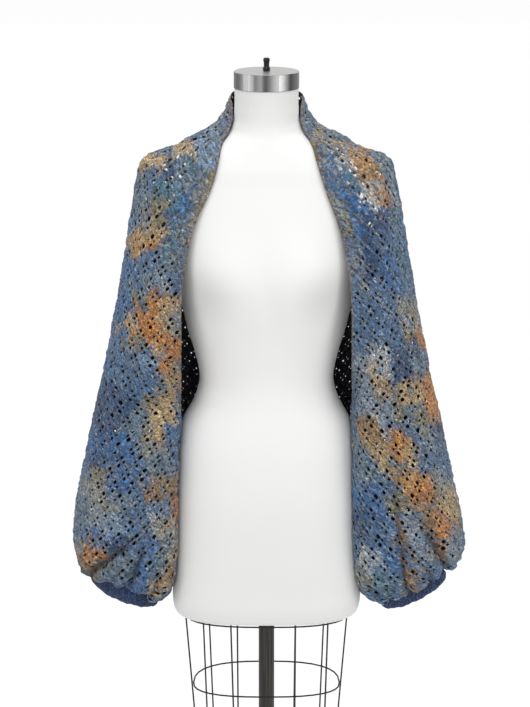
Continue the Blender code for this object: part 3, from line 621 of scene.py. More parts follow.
# ---- the lace on it ----
class Lace:
    """The lattice of eyelets on the half grid, in mesh steps and in metres from the front edge."""

    def __init__(self, points, along, row_step, lean, see_through):
        self.lean = lean
        self.rows, self.columns = points.shape[:2]
        self.row_step = row_step
        steps = np.linalg.norm(np.diff(points, axis=1), axis=2)
        self.out = np.concatenate([np.zeros((self.rows, 1)), np.cumsum(steps, axis=1)], axis=1)
        self.out_by_row, self.out_by_column = np.gradient(self.out)
        self.behind = eased(0.0, BEHIND_FACING, normals_of(points)[..., 1])
        at_middle = 1 - eased(*MIDDLE, np.abs(points[..., 0]))
        seen_through = see_through * bump((along - SEEN_THROUGH_AT) / SEEN_THROUGH_REACH)[:, None]
        behind_size = BEHIND_SIZE + (MIDDLE_SIZE - BEHIND_SIZE) * at_middle
        self.size = 1 - (1 - behind_size) * self.behind * (1 - seen_through)
        sections, slopes = np.array(WALE_SLOPES).T
        self.slope = np.interp(along, sections, slopes)
        self.on_shoulder = bump((along - SHOULDER_AT) / SHOULDER_REACH)
        self.drift = np.cumsum(self.slope) * row_step

    def coordinates(self):
        """How many repeats each mesh point lies outwards and down."""
        row = np.arange(self.rows)[:, None]
        down = (row - FIRST_CLUSTER) / (2 * CLUSTER_ROWS) + 0 * self.out
        return (self.out - self.drift[:, None]) / REPEAT_WIDTH, down

    def opened(self, random):
        """How far each mesh point moves to open the eyelets, and which points lie in the middle of one."""
        move = np.zeros((self.rows, self.columns, 2))
        held = np.zeros((self.rows, self.columns), bool)
        is_middle = np.zeros((self.rows, self.columns), bool)
        for line, row in enumerate(range(FIRST_CLUSTER, self.rows - FIRST_CLUSTER, CLUSTER_ROWS)):
            first = math.ceil(-self.drift[row] / REPEAT_WIDTH) - 1
            last = math.floor((self.out[row, -1] - self.drift[row]) / REPEAT_WIDTH) + 1
            for number in range(first, last + 1):
                out = (number + 0.5 * (line % 2)) * REPEAT_WIDTH + self.drift[row]
                for eyelet in EYELETS:
                    self.open_one(eyelet, row, out, random, move, held, is_middle)
        move[:, 0, 0] = move[:, -1, 0] = 0
        held[0] = held[-1] = held[:, 0] = held[:, -1] = True
        for _ in range(SETTLING_ROUNDS):
            settled = sum(np.roll(move, shift, axis) for axis in (0, 1) for shift in (1, -1)) / 4
            move = np.where(held[..., None], move, settled)
        return move, is_middle

    def open_one(self, eyelet, row, out, random, move, held, is_middle):
        stray = random.uniform(-EYELET_STRAY, EYELET_STRAY, 2)
        is_closed = random.random() < CLOSED_SHARE
        centre = np.interp(out, self.out[row], np.arange(self.columns))
        nearest = min(max(round(centre), 0), self.columns - 1)
        size = random.uniform(*EYELET_SIZES) * self.size[row, nearest]
        size *= 1 + (SHOULDER_SIZE - 1) * self.on_shoulder[row]
        width, shear = self.out_by_column[row, nearest], self.out_by_row[row, nearest]
        slope = self.slope[row]
        down = eyelet.down + stray[1]
        at_row = row + down / self.row_step
        at_column = centre + (eyelet.out + stray[0] + slope * down - shear * down / self.row_step) / width
        middle_row = row + eyelet.row_steps
        middle_column = round(at_column)
        if eyelet.column_steps:
            middle_column = nearest + eyelet.column_steps * max(1, round(abs(eyelet.out) / width / 2))
        is_inside = 2 < middle_column < self.columns - 3 and 0 < out < self.out[row, -1]
        is_gathered = row > self.rows - GATHERED_ROWS and self.behind[row, nearest] > GATHERED_FACING
        if is_closed or is_gathered or not is_inside:
            return
        lean = (math.atan(slope) + self.lean) * min(row / LEAN_ROWS, 1)
        lean += SHOULDER_LEAN * self.on_shoulder[row]
        cosine, sine = math.cos(lean), math.sin(lean)
        wide, long = eyelet.half_width * size, eyelet.half_length * size
        for column_step, row_step in RING:
            across, down = column_step * width + row_step * shear, row_step * self.row_step
            side, up = across * cosine - down * sine, across * sine + down * cosine
            angle = math.atan2(up / long, side / wide)
            pull = CORNER_PULL if column_step and row_step else 1
            side, up = wide * pull * math.cos(angle), long * pull * math.sin(angle)
            across, down = side * cosine + up * sine, up * cosine - side * sine
            place = (middle_row + row_step, middle_column + column_step)
            moved_row = at_row + down / self.row_step
            moved_column = at_column + (across - shear * down / self.row_step) / width
            move[place] = (moved_column - place[1], moved_row - place[0])
            held[place] = True
        is_middle[middle_row, middle_column] = True


RING = ((1, 0), (1, 1), (0, 1), (-1, 1), (-1, 0), (-1, -1), (0, -1), (1, -1))


def relief(out, down):
    """The height of the knit over its middle surface."""
    nearest = np.ones(out.shape)
    for shift in (0, 0.5):
        from_cluster = np.abs(wrapped(out - shift, 1)) * 2 + np.abs(wrapped(down - shift, 1)) * 2
        nearest = np.minimum(nearest, from_cluster)
    strand = np.exp(-((wrapped(out - down, 1) / STRAND_WIDTH) ** 2))
    strand += CROSSING_SHARE * np.exp(-((wrapped(out + down, 1) / CROSSING_WIDTH) ** 2))
    return PUFF * (eased(*PUFF_SPAN, nearest) - PUFF_LEVEL) + STRAND * strand


# ---- folds ----
def creased(points, normals, from_cuff, around, widths, creases):
    """Presses soft troughs into a sleeve above its cuff, with a ridge on either side of each."""
    depth = np.zeros(points.shape[:2])
    for crease in creases:
        up = np.clip(from_cuff / crease.reach, 0, 1)
        middle = crease.at_cuff + (crease.at_top - crease.at_cuff) * up
        above = (from_cuff - crease.deepest_at) / (crease.reach - crease.deepest_at)
        below = (crease.deepest_at - from_cuff) / (FOLD_RUN_OUT * crease.deepest_at)
        strength = bump(np.where(above > 0, above, below))
        half_width = crease.half_width * (FOLD_WIDTHS[0] + FOLD_WIDTHS[1] * up)
        away = wrapped(around - middle, 1) * widths / half_width
        ridges = np.exp(-((away - RIDGE_AT) ** 2)) + np.exp(-((away + RIDGE_AT) ** 2))
        depth += crease.depth * strength * (np.exp(-(away**2)) - RIDGE * ridges)
    turn = 2 * math.pi * around
    gathers = np.cos(GATHERS * turn + GATHER_STRAY * np.sin(3 * turn))
    depth += GATHER_DEPTH * gathers * bump(from_cuff / GATHER_REACH)
    return points - normals * depth[..., None], depth


def waves(row, column, random, kind):
    """Smooth uneven values, from a few waves in random directions."""
    total = np.zeros(np.broadcast(row, column).shape)
    for _ in range(kind.count):
        length = random.uniform(kind.shortest, kind.longest)
        turn = random.uniform(0, 2 * math.pi)
        phase = random.uniform(0, 2 * math.pi)
        total += np.sin(2 * math.pi * (row * math.cos(turn) + column * math.sin(turn)) / length + phase)
    return kind.size * total / math.sqrt(kind.count)


def normals_of(points):
    along = np.gradient(points, axis=0)
    across = np.gradient(points, axis=1)
    normals = np.cross(along, across)
    return normals / np.maximum(np.linalg.norm(normals, axis=2, keepdims=True), 1e-12)


# ---- colour ----
def linear(colour):
    part = np.asarray(colour, float) / 255
    return np.where(part <= 0.04045, part / 12.92, ((part + 0.055) / 1.055) ** 2.4)


def back_patches():
    random = np.random.default_rng(SEED + 5)
    made = []
    for row in BACK_ROWS:
        for column in BACK_COLUMNS:
            away = random.uniform(-BACK_STRAY, BACK_STRAY, 4)
            lean = BACK_LEAN if column > MIDDLE_COLUMN else -BACK_LEAN
            size = BACK_SIZE[0] + away[2], BACK_SIZE[1] + 0.6 * away[3]
            made.append(Patch(column + away[0], row + away[1], *size, lean, random.choice(BACK_YARNS)))
    return tuple(made)


def pooled(column, row, patches):
    """The yarn's colour at each place of the picture, from the patches."""
    total = np.full(column.shape, GROUND_SHARE)
    colour = total[..., None] * linear(YARN[GROUND])
    for patch in patches:
        lean = math.radians(patch.lean_deg)
        across, up = column - patch.column, patch.row - row
        side = (across * math.cos(lean) - up * math.sin(lean)) / patch.half_width
        long = (across * math.sin(lean) + up * math.cos(lean)) / patch.half_height
        share = np.exp(-((side**2 + long**2) ** 1.5) * PATCH_FALL)
        total += share
        colour += share[..., None] * linear(YARN[patch.colour])
    return colour / total[..., None]


def coloured_and_shaded(points, normals, row, column, cloth, random):
    """The colour at each point of the outer face: the yarn's own colour, with painted shade in the troughs
    and pits and painted light round the eyelets.
    """
    seen_column, seen_row = seen_at(points)
    shape = seen_column.shape
    shift = random.normal(0, ROW_SHIFT, (shape[0], 1))
    along_strand = random.normal(0, STRAND_SHIFT, STRANDS)[cloth.strand_number % STRANDS]
    side = np.where(row < 0, 1, -1)
    wander_column = waves(row, column, random, WANDER) + shift + random.normal(0, SPECKLE, shape)
    wander_row = waves(row, column, random, WANDER) + random.normal(0, SPECKLE, shape)
    wander_column += side * along_strand * math.sin(STRAND_LEAN)
    wander_row -= along_strand * math.cos(STRAND_LEAN)
    front = pooled(seen_column + wander_column, seen_row + wander_row, PATCHES)
    mirrored = 2 * MIDDLE_COLUMN - seen_column
    back = pooled(mirrored + wander_column, seen_row - BACK_SHIFT + wander_row, PATCHES + back_patches())
    to_camera = np.array((0, -math.cos(ELEVATION), math.sin(ELEVATION)))
    facing = eased(*FACING, normals @ to_camera)[..., None]
    colour = back * (1 - facing) + front * facing
    chance = random.random(shape)[..., None]
    flecked = (1 - FLECK_MIX) * colour + FLECK_MIX * linear(FLECK)
    colour = np.where(chance < FLECK_SHARE, flecked, colour)
    at_edge = EDGE_SHARE * np.exp(-((column / EDGE_STEPS) ** 2))[..., None]
    colour = colour * (1 - at_edge) + linear(YARN["brown"]) * at_edge
    # painted shade in the pits between strands
    colour = np.where(chance > 1 - PIT_SHARE, PIT_PAINTED_SHADE * colour, colour)
    # painted light round the eyelets
    tone = np.exp(random.normal(0, MOTTLE, shape)) * (1 + EYELET_PAINTED_LIGHT * cloth.rim)
    # painted shade in the troughs of the creases
    tone *= 1 - CREASE_SHADE * np.clip(cloth.depth / CREASE_SHADE_DEPTH, 0, 1)
    return colour * tone[..., None]


# ---- meshes ----
def shell(name, points, normals, is_middle, colour, inside, coordinates, material):
    """A closed wall on a grid of points, with an opening round each point of is_middle."""
    rows, columns = points.shape[:2]
    open_cell = is_middle[1:, 1:] | is_middle[1:, :-1] | is_middle[:-1, 1:] | is_middle[:-1, :-1]
    kept = ~open_cell
    padded = np.pad(kept, 1)
    number = np.arange(rows * columns).reshape(rows, columns)
    a, b, c, d = number[:-1, :-1], number[:-1, 1:], number[1:, 1:], number[1:, :-1]
    count = rows * columns
    outer = np.stack([a, d, c, b], axis=-1)[kept]
    faces = [outer, outer[:, ::-1] + count]
    rim = np.zeros(rows * columns, bool)
    for start, end, beside in (
        (a, b, padded[:-2, 1:-1]),
        (b, c, padded[1:-1, 2:]),
        (c, d, padded[2:, 1:-1]),
        (d, a, padded[1:-1, :-2]),
    ):
        chosen = kept & ~beside
        start, end = start[chosen], end[chosen]
        faces.append(np.stack([start, end, end + count, start + count], axis=-1))
        rim[start] = True
        rim[end] = True
    faces = np.concatenate(faces)

    half = np.where(rim, THICKNESS / 2 * EDGE_THINNING, THICKNESS / 2)[:, None]
    flat_points, flat_normals = points.reshape(-1, 3), normals.reshape(-1, 3)
    places = np.concatenate([flat_points + flat_normals * half, flat_points - flat_normals * half])
    colours = np.concatenate([colour.reshape(-1, 3), inside.reshape(-1, 3)])
    flat = np.concatenate([coordinates.reshape(-1, 2)] * 2)
    used = np.unique(faces)
    renumbered = np.full(2 * count, -1)
    renumbered[used] = np.arange(len(used))
    faces = renumbered[faces]
    return mesh_object(name, places[used], faces, colours[used], flat[used], material)


def mesh_object(name, places, faces, colours, flat, material):
    mesh = bpy.data.meshes.new(name)
    mesh.vertices.add(len(places))
    mesh.vertices.foreach_set("co", places.astype(np.float32).ravel())
    mesh.loops.add(faces.size)
    mesh.loops.foreach_set("vertex_index", faces.astype(np.int32).ravel())
    mesh.polygons.add(len(faces))
    mesh.polygons.foreach_set("loop_start", np.arange(0, faces.size, 4, dtype=np.int32))
    mesh.update(calc_edges=True)
    mesh.shade_smooth()
    dye_and_shade = mesh.color_attributes.new("dye_and_shade", "FLOAT_COLOR", "POINT")
    dye_and_shade.data.foreach_set("color", np.c_[colours, np.ones(len(colours))].astype(np.float32).ravel())
    uv = mesh.uv_layers.new(name="stitches")
    uv.data.foreach_set("uv", flat[faces.ravel()].astype(np.float32).ravel())
    made = add_object(name, mesh)
    mesh.materials.append(material)
    return made


# ---- materials ----
NOISE = (0.3, 0.7)  # the span that a noise mostly fills


class Value:
    """A number that a node gives. Reckoning with it adds the nodes that do so."""

    def __init__(self, nodes, socket):
        self.nodes = nodes
        self.socket = socket

    def math(self, operation, *others):
        return self.nodes.math(operation, self, *others)

    def __add__(self, other):
        return self.math("ADD", other)

    def __sub__(self, other):
        return self.math("SUBTRACT", other)

    def __rsub__(self, other):
        return self.nodes.math("SUBTRACT", other, self)

    def __mul__(self, other):
        return self.math("MULTIPLY", other)

    def __truediv__(self, other):
        return self.math("DIVIDE", other)

    def __pow__(self, other):
        return self.math("POWER", other)

    def __abs__(self):
        return self.math("ABSOLUTE")

    def spread(self, low, high, to_low=0.0, to_high=1.0, kind="LINEAR"):
        """The value, moved from one span to another and kept within it."""
        inputs = {"Value": self, "From Min": low, "From Max": high, "To Min": to_low, "To Max": to_high}
        node = self.nodes.add("MapRange", inputs, interpolation_type=kind)
        return Value(self.nodes, node.outputs["Result"])


class Nodes:
    """Adds nodes to a new material, and links them by name."""

    def __init__(self, name):
        self.material = bpy.data.materials.new(name)
        self.material.use_nodes = True
        self.tree = self.material.node_tree
        self.shader = self.tree.nodes["Principled BSDF"]
        self.place = self.add("TexCoord").outputs["Object"]

    def add(self, kind, inputs=None, **settings):
        node = self.tree.nodes.new("ShaderNode" + kind)
        for key, value in settings.items():
            setattr(node, key, value)
        for key, value in (inputs or {}).items():
            self.put(node.inputs[key], value)
        return node

    def put(self, socket, value):
        if isinstance(value, Value):
            value = value.socket
        if isinstance(value, bpy.types.NodeSocket):
            self.tree.links.new(value, socket)
        else:
            socket.default_value = value

    def math(self, operation, *values):
        return Value(self, self.add("Math", dict(enumerate(values)), operation=operation).outputs[0])

    def reckoned(self, operation, first, second):
        """The sum, difference or product of two vectors."""
        return self.add("VectorMath", {0: first, 1: second}, operation=operation).outputs[0]

    def split(self, vector):
        node = self.add("SeparateXYZ", {"Vector": vector})
        return [Value(self, node.outputs[axis]) for axis in "XYZ"]

    def noise(self, scale, detail=2.0, roughness=0.5, vector=None):
        inputs = {"Vector": vector or self.place, "Scale": scale, "Detail": detail, "Roughness": roughness}
        return Value(self, self.add("TexNoise", inputs).outputs["Fac"])

    def stretched(self, *scale):
        return self.add("Mapping", {"Vector": self.place, "Scale": scale}).outputs["Vector"]

    def mixed(self, share, first, second, blend="MIX"):
        node = self.add("Mix", data_type="RGBA", blend_type=blend)
        for index, value in ((0, share), (6, first), (7, second)):
            self.put(node.inputs[index], value)
        return node.outputs[2]

    def toned(self, colour, tone):
        """The colour, as light as the tone says."""
        grey = self.add("CombineColor", {"Red": tone, "Green": tone, "Blue": tone}).outputs["Color"]
        return self.mixed(1.0, colour, grey, "MULTIPLY")

    def bump(self, height, distance, strength=1.0):
        inputs = {"Height": height, "Distance": distance, "Strength": strength}
        self.put(self.shader.inputs["Normal"], self.add("Bump", inputs).outputs["Normal"])

    def set(self, **values):
        for key, value in values.items():
            self.put(self.shader.inputs[key.replace("_", " ")], value)


KNIT_STRAY = (1.6, 1.6, 0.0)  # the span, in stitches, over which the yarn strays
KNIT_STRAY_SCALE = 300.0
LEG_SLANT = 1.4  # of the legs of a stitch, in courses to a wale
LEANING_WIDTH = 0.042  # half width of the leaning strands between the eyelets, in repeats
LEANING_BACK_WIDTH = 0.032  # the same of the strands that cross them
LEANING_BACK_SHARE = 0.45  # how strong those are beside the leaning ones
WORM_SCALE = 330.0
# How light the yarn is at the darkest and the lightest places that each cause makes. Clumps and fibres give
# the yarn's uneven tone; the stitches give painted shade in the gaps between their legs and painted highlight
# on them, and the strands painted highlight.
CLUMP_TONES = (0.38, 1.62)
FIBRE_TONES = (0.75, 1.25)
STITCH_SHADE_TONES = (0.08, 1.54)
STRAND_HIGHLIGHT_TONES = (0.94, 1.60)
HALO_COLOUR = (0.46, 0.44, 0.38, 1)  # of loose fibres
HALO_MOST = 0.20
# A paler tan along the strands: partly the yarn's own colour, partly painted highlight.
STRAND_COLOUR = (0.62, 0.54, 0.40, 1)
STRAND_MOST = 0.42
KNIT_BUMP = 0.0018


def knit_material(name, lines):
    """Brushed knitted yarn, in the colours that the mesh carries: its dye, with painted shade and light. Its
    coordinates count the stitches.

    lines is how strongly the painted highlight along the leaning strands between the eyelets shows.
    """
    n = Nodes(name)
    uv = n.add("UVMap", uv_map="stitches").outputs["UV"]
    dye_and_shade = n.add("Attribute", attribute_name="dye_and_shade").outputs["Color"]
    stray = n.add("TexNoise", {"Vector": n.place, "Scale": KNIT_STRAY_SCALE, "Detail": 2.0}).outputs["Color"]
    stray = n.reckoned("MULTIPLY", n.reckoned("SUBTRACT", stray, (0.5, 0.5, 0.5)), KNIT_STRAY)
    across, down, _ = n.split(n.reckoned("ADD", uv, stray))

    # each stitch is a V of two legs
    from_wale = abs(across.math("FRACT") - 0.5)
    course = (down + from_wale * LEG_SLANT).math("FRACT")
    leg = 1.0 - abs(course.spread(0.0, 1.0, -1.0, 1.0)) ** 2.0
    side = abs(from_wale.spread(0.0, 0.5, -1.0, 1.0)) ** 2.0
    leg = leg * (1.0 - side * 0.5)

    # the strands that cross between the eyelets
    repeat_out, repeat_down = across / STITCHES, down / COURSES
    leaning = abs((repeat_out - repeat_down).math("WRAP", 0.5, -0.5)).spread(0.0, LEANING_WIDTH, 1.0, 0.0)
    back = abs((repeat_out + repeat_down).math("WRAP", 0.5, -0.5)).spread(0.0, LEANING_BACK_WIDTH, 1.0, 0.0)
    breaks = n.noise(110.0, 2.0, 0.6).spread(0.40, 0.60, 0.05, 1.0)
    strand = leaning.math("MAXIMUM", back * LEANING_BACK_SHARE) * breaks * lines

    worm = abs(n.noise(WORM_SCALE, 1.5, 0.6) - 0.5).spread(0.0, 0.10)
    fibre = n.noise(1500.0, 2.0, 0.7)
    clump = n.noise(520.0, 3.0, 0.65)
    stitch = leg * 0.6 + worm * 0.4
    # painted shade in the gaps of the stitches and painted highlight along the strands, on the yarn's uneven
    # tone
    tone = clump.spread(*NOISE, *CLUMP_TONES) * fibre.spread(*NOISE, *FIBRE_TONES)
    tone = tone * stitch.spread(0.05, 0.90, *STITCH_SHADE_TONES) * strand.spread(0.0, 1.0, *STRAND_HIGHLIGHT_TONES)
    halo = n.noise(800.0, 1.0).spread(0.60, 0.74, 0.0, HALO_MOST)
    colour = n.mixed(halo, n.toned(dye_and_shade, tone), HALO_COLOUR)
    n.set(Base_Color=n.mixed(strand * STRAND_MOST, colour, STRAND_COLOUR))
    n.bump(stitch * 0.9 + clump * 0.7 + strand * 0.6 + fibre * 0.35, KNIT_BUMP)
    n.set(Roughness=0.93, Specular_IOR_Level=0.18, Sheen_Weight=0.2, Sheen_Roughness=0.5)
    return n.material


# Painted shade and painted light on the cover under the lace of the shoulders: a dark colour for the shade,
# and glowing spots for the light that comes through the yarn. Both start outwards of a slanting line,
# |x| + GLOW_SLANT z = GLOW_FROM, and the spots end at a height.
GLOW = 0.8
GLOW_SLANT = 0.40
GLOW_FROM = 0.712
GLOW_FADE = 0.012  # the width of the line
SHADE_HEIGHTS = (1.20, 1.26)  # the heights between which the shade fades out
GLOW_LOWEST = {"left": 1.375, "right": 1.27}
GLOW_RISE = 0.04  # from those heights to where the spots are whole
GLOW_SPOTS = 84.0  # noise scale of the spots
GLOW_SHARE = (0.50, 0.56)  # the span of that noise from no spot to a whole one
SHADE_UNDER_LACE = (0.12, 0.12, 0.12, 1)  # painted shade: the colour of the cover under the lace
JERSEY = (0.732, 0.730, 0.723, 1)
JERSEY_TONES = (0.985, 1.0)
# Painted shade on the cover: it is greyer round the neck, over the hips and under the bust.
NECK_PAINTED_SHADE = 0.89
NECK_HEIGHTS = (1.475, 1.520)
HIP_PAINTED_SHADE = 0.93
HIP_HEIGHTS = (0.80, 1.00)
BUST_PAINTED_SHADE = 0.86
BUST_SHADE_OUT = 0.105
BUST_SHADE_HEIGHT = 1.225
BUST_SHADE_WIDTH = 0.075
BUST_SHADE_REACH = 0.065


def cover_material():
    """Taut white jersey over the form, with painted shade and glowing spots of painted light on it."""
    n = Nodes("white_jersey")
    x, _, z = n.split(n.place)
    fine = n.noise(1400.0, 2.0, 0.6, n.stretched(1.0, 1.0, 0.6))
    weave = fine.spread(*NOISE, *JERSEY_TONES) * n.noise(9.0).spread(*NOISE, *JERSEY_TONES)
    outwards = abs(x) + z * GLOW_SLANT
    shaded = outwards.spread(GLOW_FROM - GLOW_FADE, GLOW_FROM) * z.spread(*SHADE_HEIGHTS)
    spots = n.noise(GLOW_SPOTS, 1.0).spread(*GLOW_SHARE)
    lowest = x.spread(-0.02, 0.02, GLOW_LOWEST["left"], GLOW_LOWEST["right"])
    glow = shaded * spots * (z - lowest).spread(0.0, GLOW_RISE)
    # painted shade round the neck, over the hips and under the bust
    neck = z.spread(*NECK_HEIGHTS, 1.0, NECK_PAINTED_SHADE, "SMOOTHSTEP")
    hips = z.spread(*HIP_HEIGHTS, HIP_PAINTED_SHADE, 1.0, "SMOOTHSTEP")
    beside = abs(abs(x) - BUST_SHADE_OUT).spread(0.0, BUST_SHADE_WIDTH, 1.0, 0.0, "SMOOTHSTEP")
    above = abs(z - BUST_SHADE_HEIGHT).spread(0.0, BUST_SHADE_REACH, 1.0, 0.0, "SMOOTHSTEP")
    tone = weave * neck * hips * (beside * above).spread(0.0, 1.0, 1.0, BUST_PAINTED_SHADE)
    # painted shade under the lace of the shoulders
    n.set(Base_Color=n.mixed(shaded, n.toned(JERSEY, tone), SHADE_UNDER_LACE))
    # painted light: the spots glow
    n.set(Emission_Color=(1.0, 0.985, 0.95, 1), Emission_Strength=glow * GLOW)
    n.bump(fine, 0.0002, 0.5)
    n.set(Roughness=0.78, Specular_IOR_Level=0.3, Sheen_Weight=0.1)
    return n.material


# Painted reflections: bands of light round the side of the cap. A row is a turn from the front, in degrees,
# and how light it is.
CAP_PAINTED_REFLECTIONS = (
    (-180, 0.160), (-140, 0.600), (-100, 0.200), (-61, 0.176), (-38, 0.592), (-20, 0.264), (-12, 0.360),
    (-2, 0.104), (22, 0.560), (35, 0.320), (45, 0.096), (62, 0.192), (110, 0.640), (180, 0.160),
)
CAP_TOP = (0.80, 0.79, 0.78, 1)


def steel_material():
    """Brushed steel: painted reflections in soft bands of light round the side of the cap, and rings on its
    top.
    """
    n = Nodes("brushed_steel")
    x, y, z = n.split(n.place)
    radius = (x * x + y * y).math("SQRT")
    turn = x.math("ARCTAN2", y * -1.0)
    rings = n.add("CombineXYZ", {"X": turn * 0.02, "Y": radius, "Z": z}).outputs["Vector"]
    lines = n.noise(2600.0, 2.0, 0.7, rings)
    reflection_ramp = n.add("ValToRGB", {"Fac": turn.spread(-math.pi, math.pi)})
    reflection_ramp.color_ramp.interpolation = "EASE"
    stops = reflection_ramp.color_ramp.elements
    while len(stops) < len(CAP_PAINTED_REFLECTIONS):
        stops.new(0.5)
    for stop, (turn_deg, light) in zip(stops, CAP_PAINTED_REFLECTIONS):
        stop.position = (turn_deg + 180) / 360
        stop.color = (light, light, light, 1)
    _, _, up = n.split(n.add("NewGeometry").outputs["Normal"])
    light = n.mixed(up.spread(0.5, 0.8), reflection_ramp.outputs["Color"], CAP_TOP)
    n.set(Base_Color=n.toned(light, lines.spread(*NOISE, 0.90, 1.04)))
    n.bump(lines, 0.00008, 0.6)
    n.set(Metallic=1.0, Roughness=lines.spread(*NOISE, 0.28, 0.46))
    return n.material


def gunmetal_material():
    """Dark lacquered steel with faint drawn lines down it."""
    n = Nodes("gunmetal")
    lines = n.noise(520.0, 3.0, 0.6, n.stretched(1.0, 1.0, 0.012))
    patches = n.noise(45.0, 3.0, 0.6, n.stretched(1.0, 1.0, 0.2))
    n.set(Base_Color=n.mixed(lines.spread(0.35, 0.65), (0.022, 0.021, 0.019, 1), (0.060, 0.057, 0.052, 1)))
    n.bump(lines, 0.00015, 0.5)
    n.set(Metallic=0.75, Roughness=patches.spread(*NOISE, 0.34, 0.50))
    return n.material


def black_material(name, roughness, metallic, specular=0.5):
    """Black lacquer, a little worn and dusty."""
    n = Nodes(name)
    dust = n.noise(160.0, 3.0, 0.6)
    n.set(Base_Color=n.mixed(dust.spread(0.45, 0.75), (0.006, 0.006, 0.007, 1), (0.018, 0.018, 0.018, 1)))
    n.bump(n.noise(900.0), 0.00004, 0.5)
    n.set(Metallic=metallic, Specular_IOR_Level=specular)
    n.set(Roughness=dust.spread(*NOISE, roughness, roughness + 0.15))
    return n.material


def floor_material():
    """A pale studio floor. Straight to the camera it glows, so that it runs on into the pale wall."""
    n = Nodes("pale_floor")
    pale = n.mixed(n.noise(3.0, 3.0).spread(*NOISE), (0.84, 0.84, 0.84, 1), (0.87, 0.87, 0.87, 1))
    is_seen = Value(n, n.add("LightPath").outputs["Is Camera Ray"])
    n.set(Base_Color=n.mixed(is_seen, pale, (0.10, 0.10, 0.10, 1)), Roughness=0.8, Specular_IOR_Level=0.0)
    n.set(Emission_Color=(1, 1, 1, 1), Emission_Strength=is_seen * 0.93)
    return n.material


# ---- the shrug ----
Cloth = namedtuple("Cloth", "points height is_middle rim depth strand_number out down")
FIRST_LEFT_STRAND = 2000  # so that the two halves' strands have numbers of their own
CALM_COLUMNS = 4  # from the front edge, over which the cloth grows as uneven as elsewhere
CALM_SHARE = 0.6
CUFF_FADE_ROWS = 6  # over a cuff, in which the knit's relief fades out


def laced_half(half, along, row_step, lean, see_through, creases, lift, random):
    """One half of the cloth: its points with the eyelets opened, and what each point is."""
    lace = Lace(half, along, row_step, lean, see_through)
    move, is_middle = lace.opened(random)
    out, down = lace.coordinates()
    rows, columns = half.shape[:2]
    around = np.arange(columns)[None, :] / (columns - 1) + np.zeros((rows, 1))
    from_cuff = ((rows - 1 - np.arange(rows)) * row_step)[:, None] + np.zeros((1, columns))
    points, depth = creased(half, normals_of(half), from_cuff, around, lace.out[:, -1:], creases)
    rise = lift.height * bump(from_cuff / LIFT_REACH - 1)
    rise += lift.seam * (1 - eased(0, 2 * LIFT_REACH, from_cuff))
    points[..., 2] += rise * bump((around - lift.at) / lift.half_width)
    by_row, by_column = np.gradient(points, axis=(0, 1))
    points = points + by_column * move[..., :1] + by_row * move[..., 1:]
    # Where painted light lies round the eyelets, most below and outside each.
    rim = np.zeros(is_middle.shape)
    for row_away, column_away in RING:
        share = 0.4 + 0.3 * (row_away + column_away)
        rim = np.maximum(rim, share * np.roll(is_middle, (row_away, column_away), (0, 1)))
    stitches, courses = out * STITCHES, down * COURSES
    strand_number = np.round((out - down) * STITCHES).astype(int)
    return Cloth(points, relief(out, down), is_middle, rim, depth, strand_number, stitches, courses)


def joined(left, right):
    return np.concatenate([left[:0:-1], right])


def whole_cloth():
    """The whole shrug as one grid, from the left cuff over the back to the right cuff."""
    random = np.random.default_rng(SEED)
    along, half, row_step, seam_row = half_grid()
    left_half = edge_drawn_in(inner_side_shifted(half, LEFT_INNER_SHIFT), LEFT_CHEST_DRAW)
    left = laced_half(left_half, along, row_step, LEFT_LEAN, 0.0, LEFT_CREASES, LEFT_LIFT, random)
    right = laced_half(half, along, row_step, RIGHT_LEAN, SEEN_THROUGH, RIGHT_CREASES, RIGHT_LIFT, random)
    strand_number = left.strand_number + FIRST_LEFT_STRAND
    left = left._replace(points=left.points * np.array((-1, 1, 1)), strand_number=strand_number)
    right = right._replace(points=nudged(swung_out(right.points), RIGHT_CUFF_NUDGES))
    cloth = Cloth(*(joined(first, second) for first, second in zip(left, right)))

    rows = len(half)
    row = np.arange(-(rows - 1), rows)[:, None]
    column = np.arange(half.shape[1])[None, :]
    uneven = sum(waves(row, column, random, kind) for kind in UNEVEN)
    uneven = uneven * np.clip(column / CALM_COLUMNS, CALM_SHARE, 1)
    height = cloth.height + uneven + random.normal(0, FUZZ, cloth.height.shape)
    height = height * np.clip((rows - 1 - np.abs(row)) / CUFF_FADE_ROWS, 0, 1)
    points = cloth.points + normals_of(cloth.points) * height[..., None]
    normals = normals_of(points)

    colour = coloured_and_shaded(points, normals, row, column, cloth, random)
    # The inner face gets painted shade: a dark colour with a little of the outer face's.
    shade = np.exp(random.normal(0, INSIDE_MOTTLE, height.shape))[..., None]
    inside = linear(INNER_PAINTED_SHADE) * shade * INSIDE_SHARES[0] + colour * INSIDE_SHARES[1]
    flat = np.stack([cloth.out, cloth.down], axis=-1)
    return points, normals, cloth.is_middle, colour, inside, flat, seam_row, rows


def make_shrug(knit):
    points, normals, is_middle, colour, inside, flat, seam_row, rows = whole_cloth()
    middle = rows - 1
    back_row = round(seam_row * BACK_SHARE)
    cuts = {
        "knit_sleeve_left": (0, middle - seam_row, "sleeve_left"),
        "knit_front_left": (middle - seam_row, middle - back_row, "shrug_body"),
        "knit_back": (middle - back_row, middle + back_row, "shrug_body"),
        "knit_front_right": (middle + back_row, middle + seam_row, "shrug_body"),
        "knit_sleeve_right": (middle + seam_row, 2 * middle, "sleeve_right"),
    }
    made = {}
    for name, (first, last, node) in cuts.items():
        part = slice(first, last + 1)
        piece = shell(
            name, points[part], normals[part], is_middle[part], colour[part], inside[part], flat[part], knit
        )
        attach(piece, "root")
        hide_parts(node)
        made[name] = piece
    return made


# ---- the form's cover ----
FORM_COLUMNS = 192
FORM_ROWS = 241
FORM_SHARP = math.radians(50)  # an edge that turns by more than this is sharp


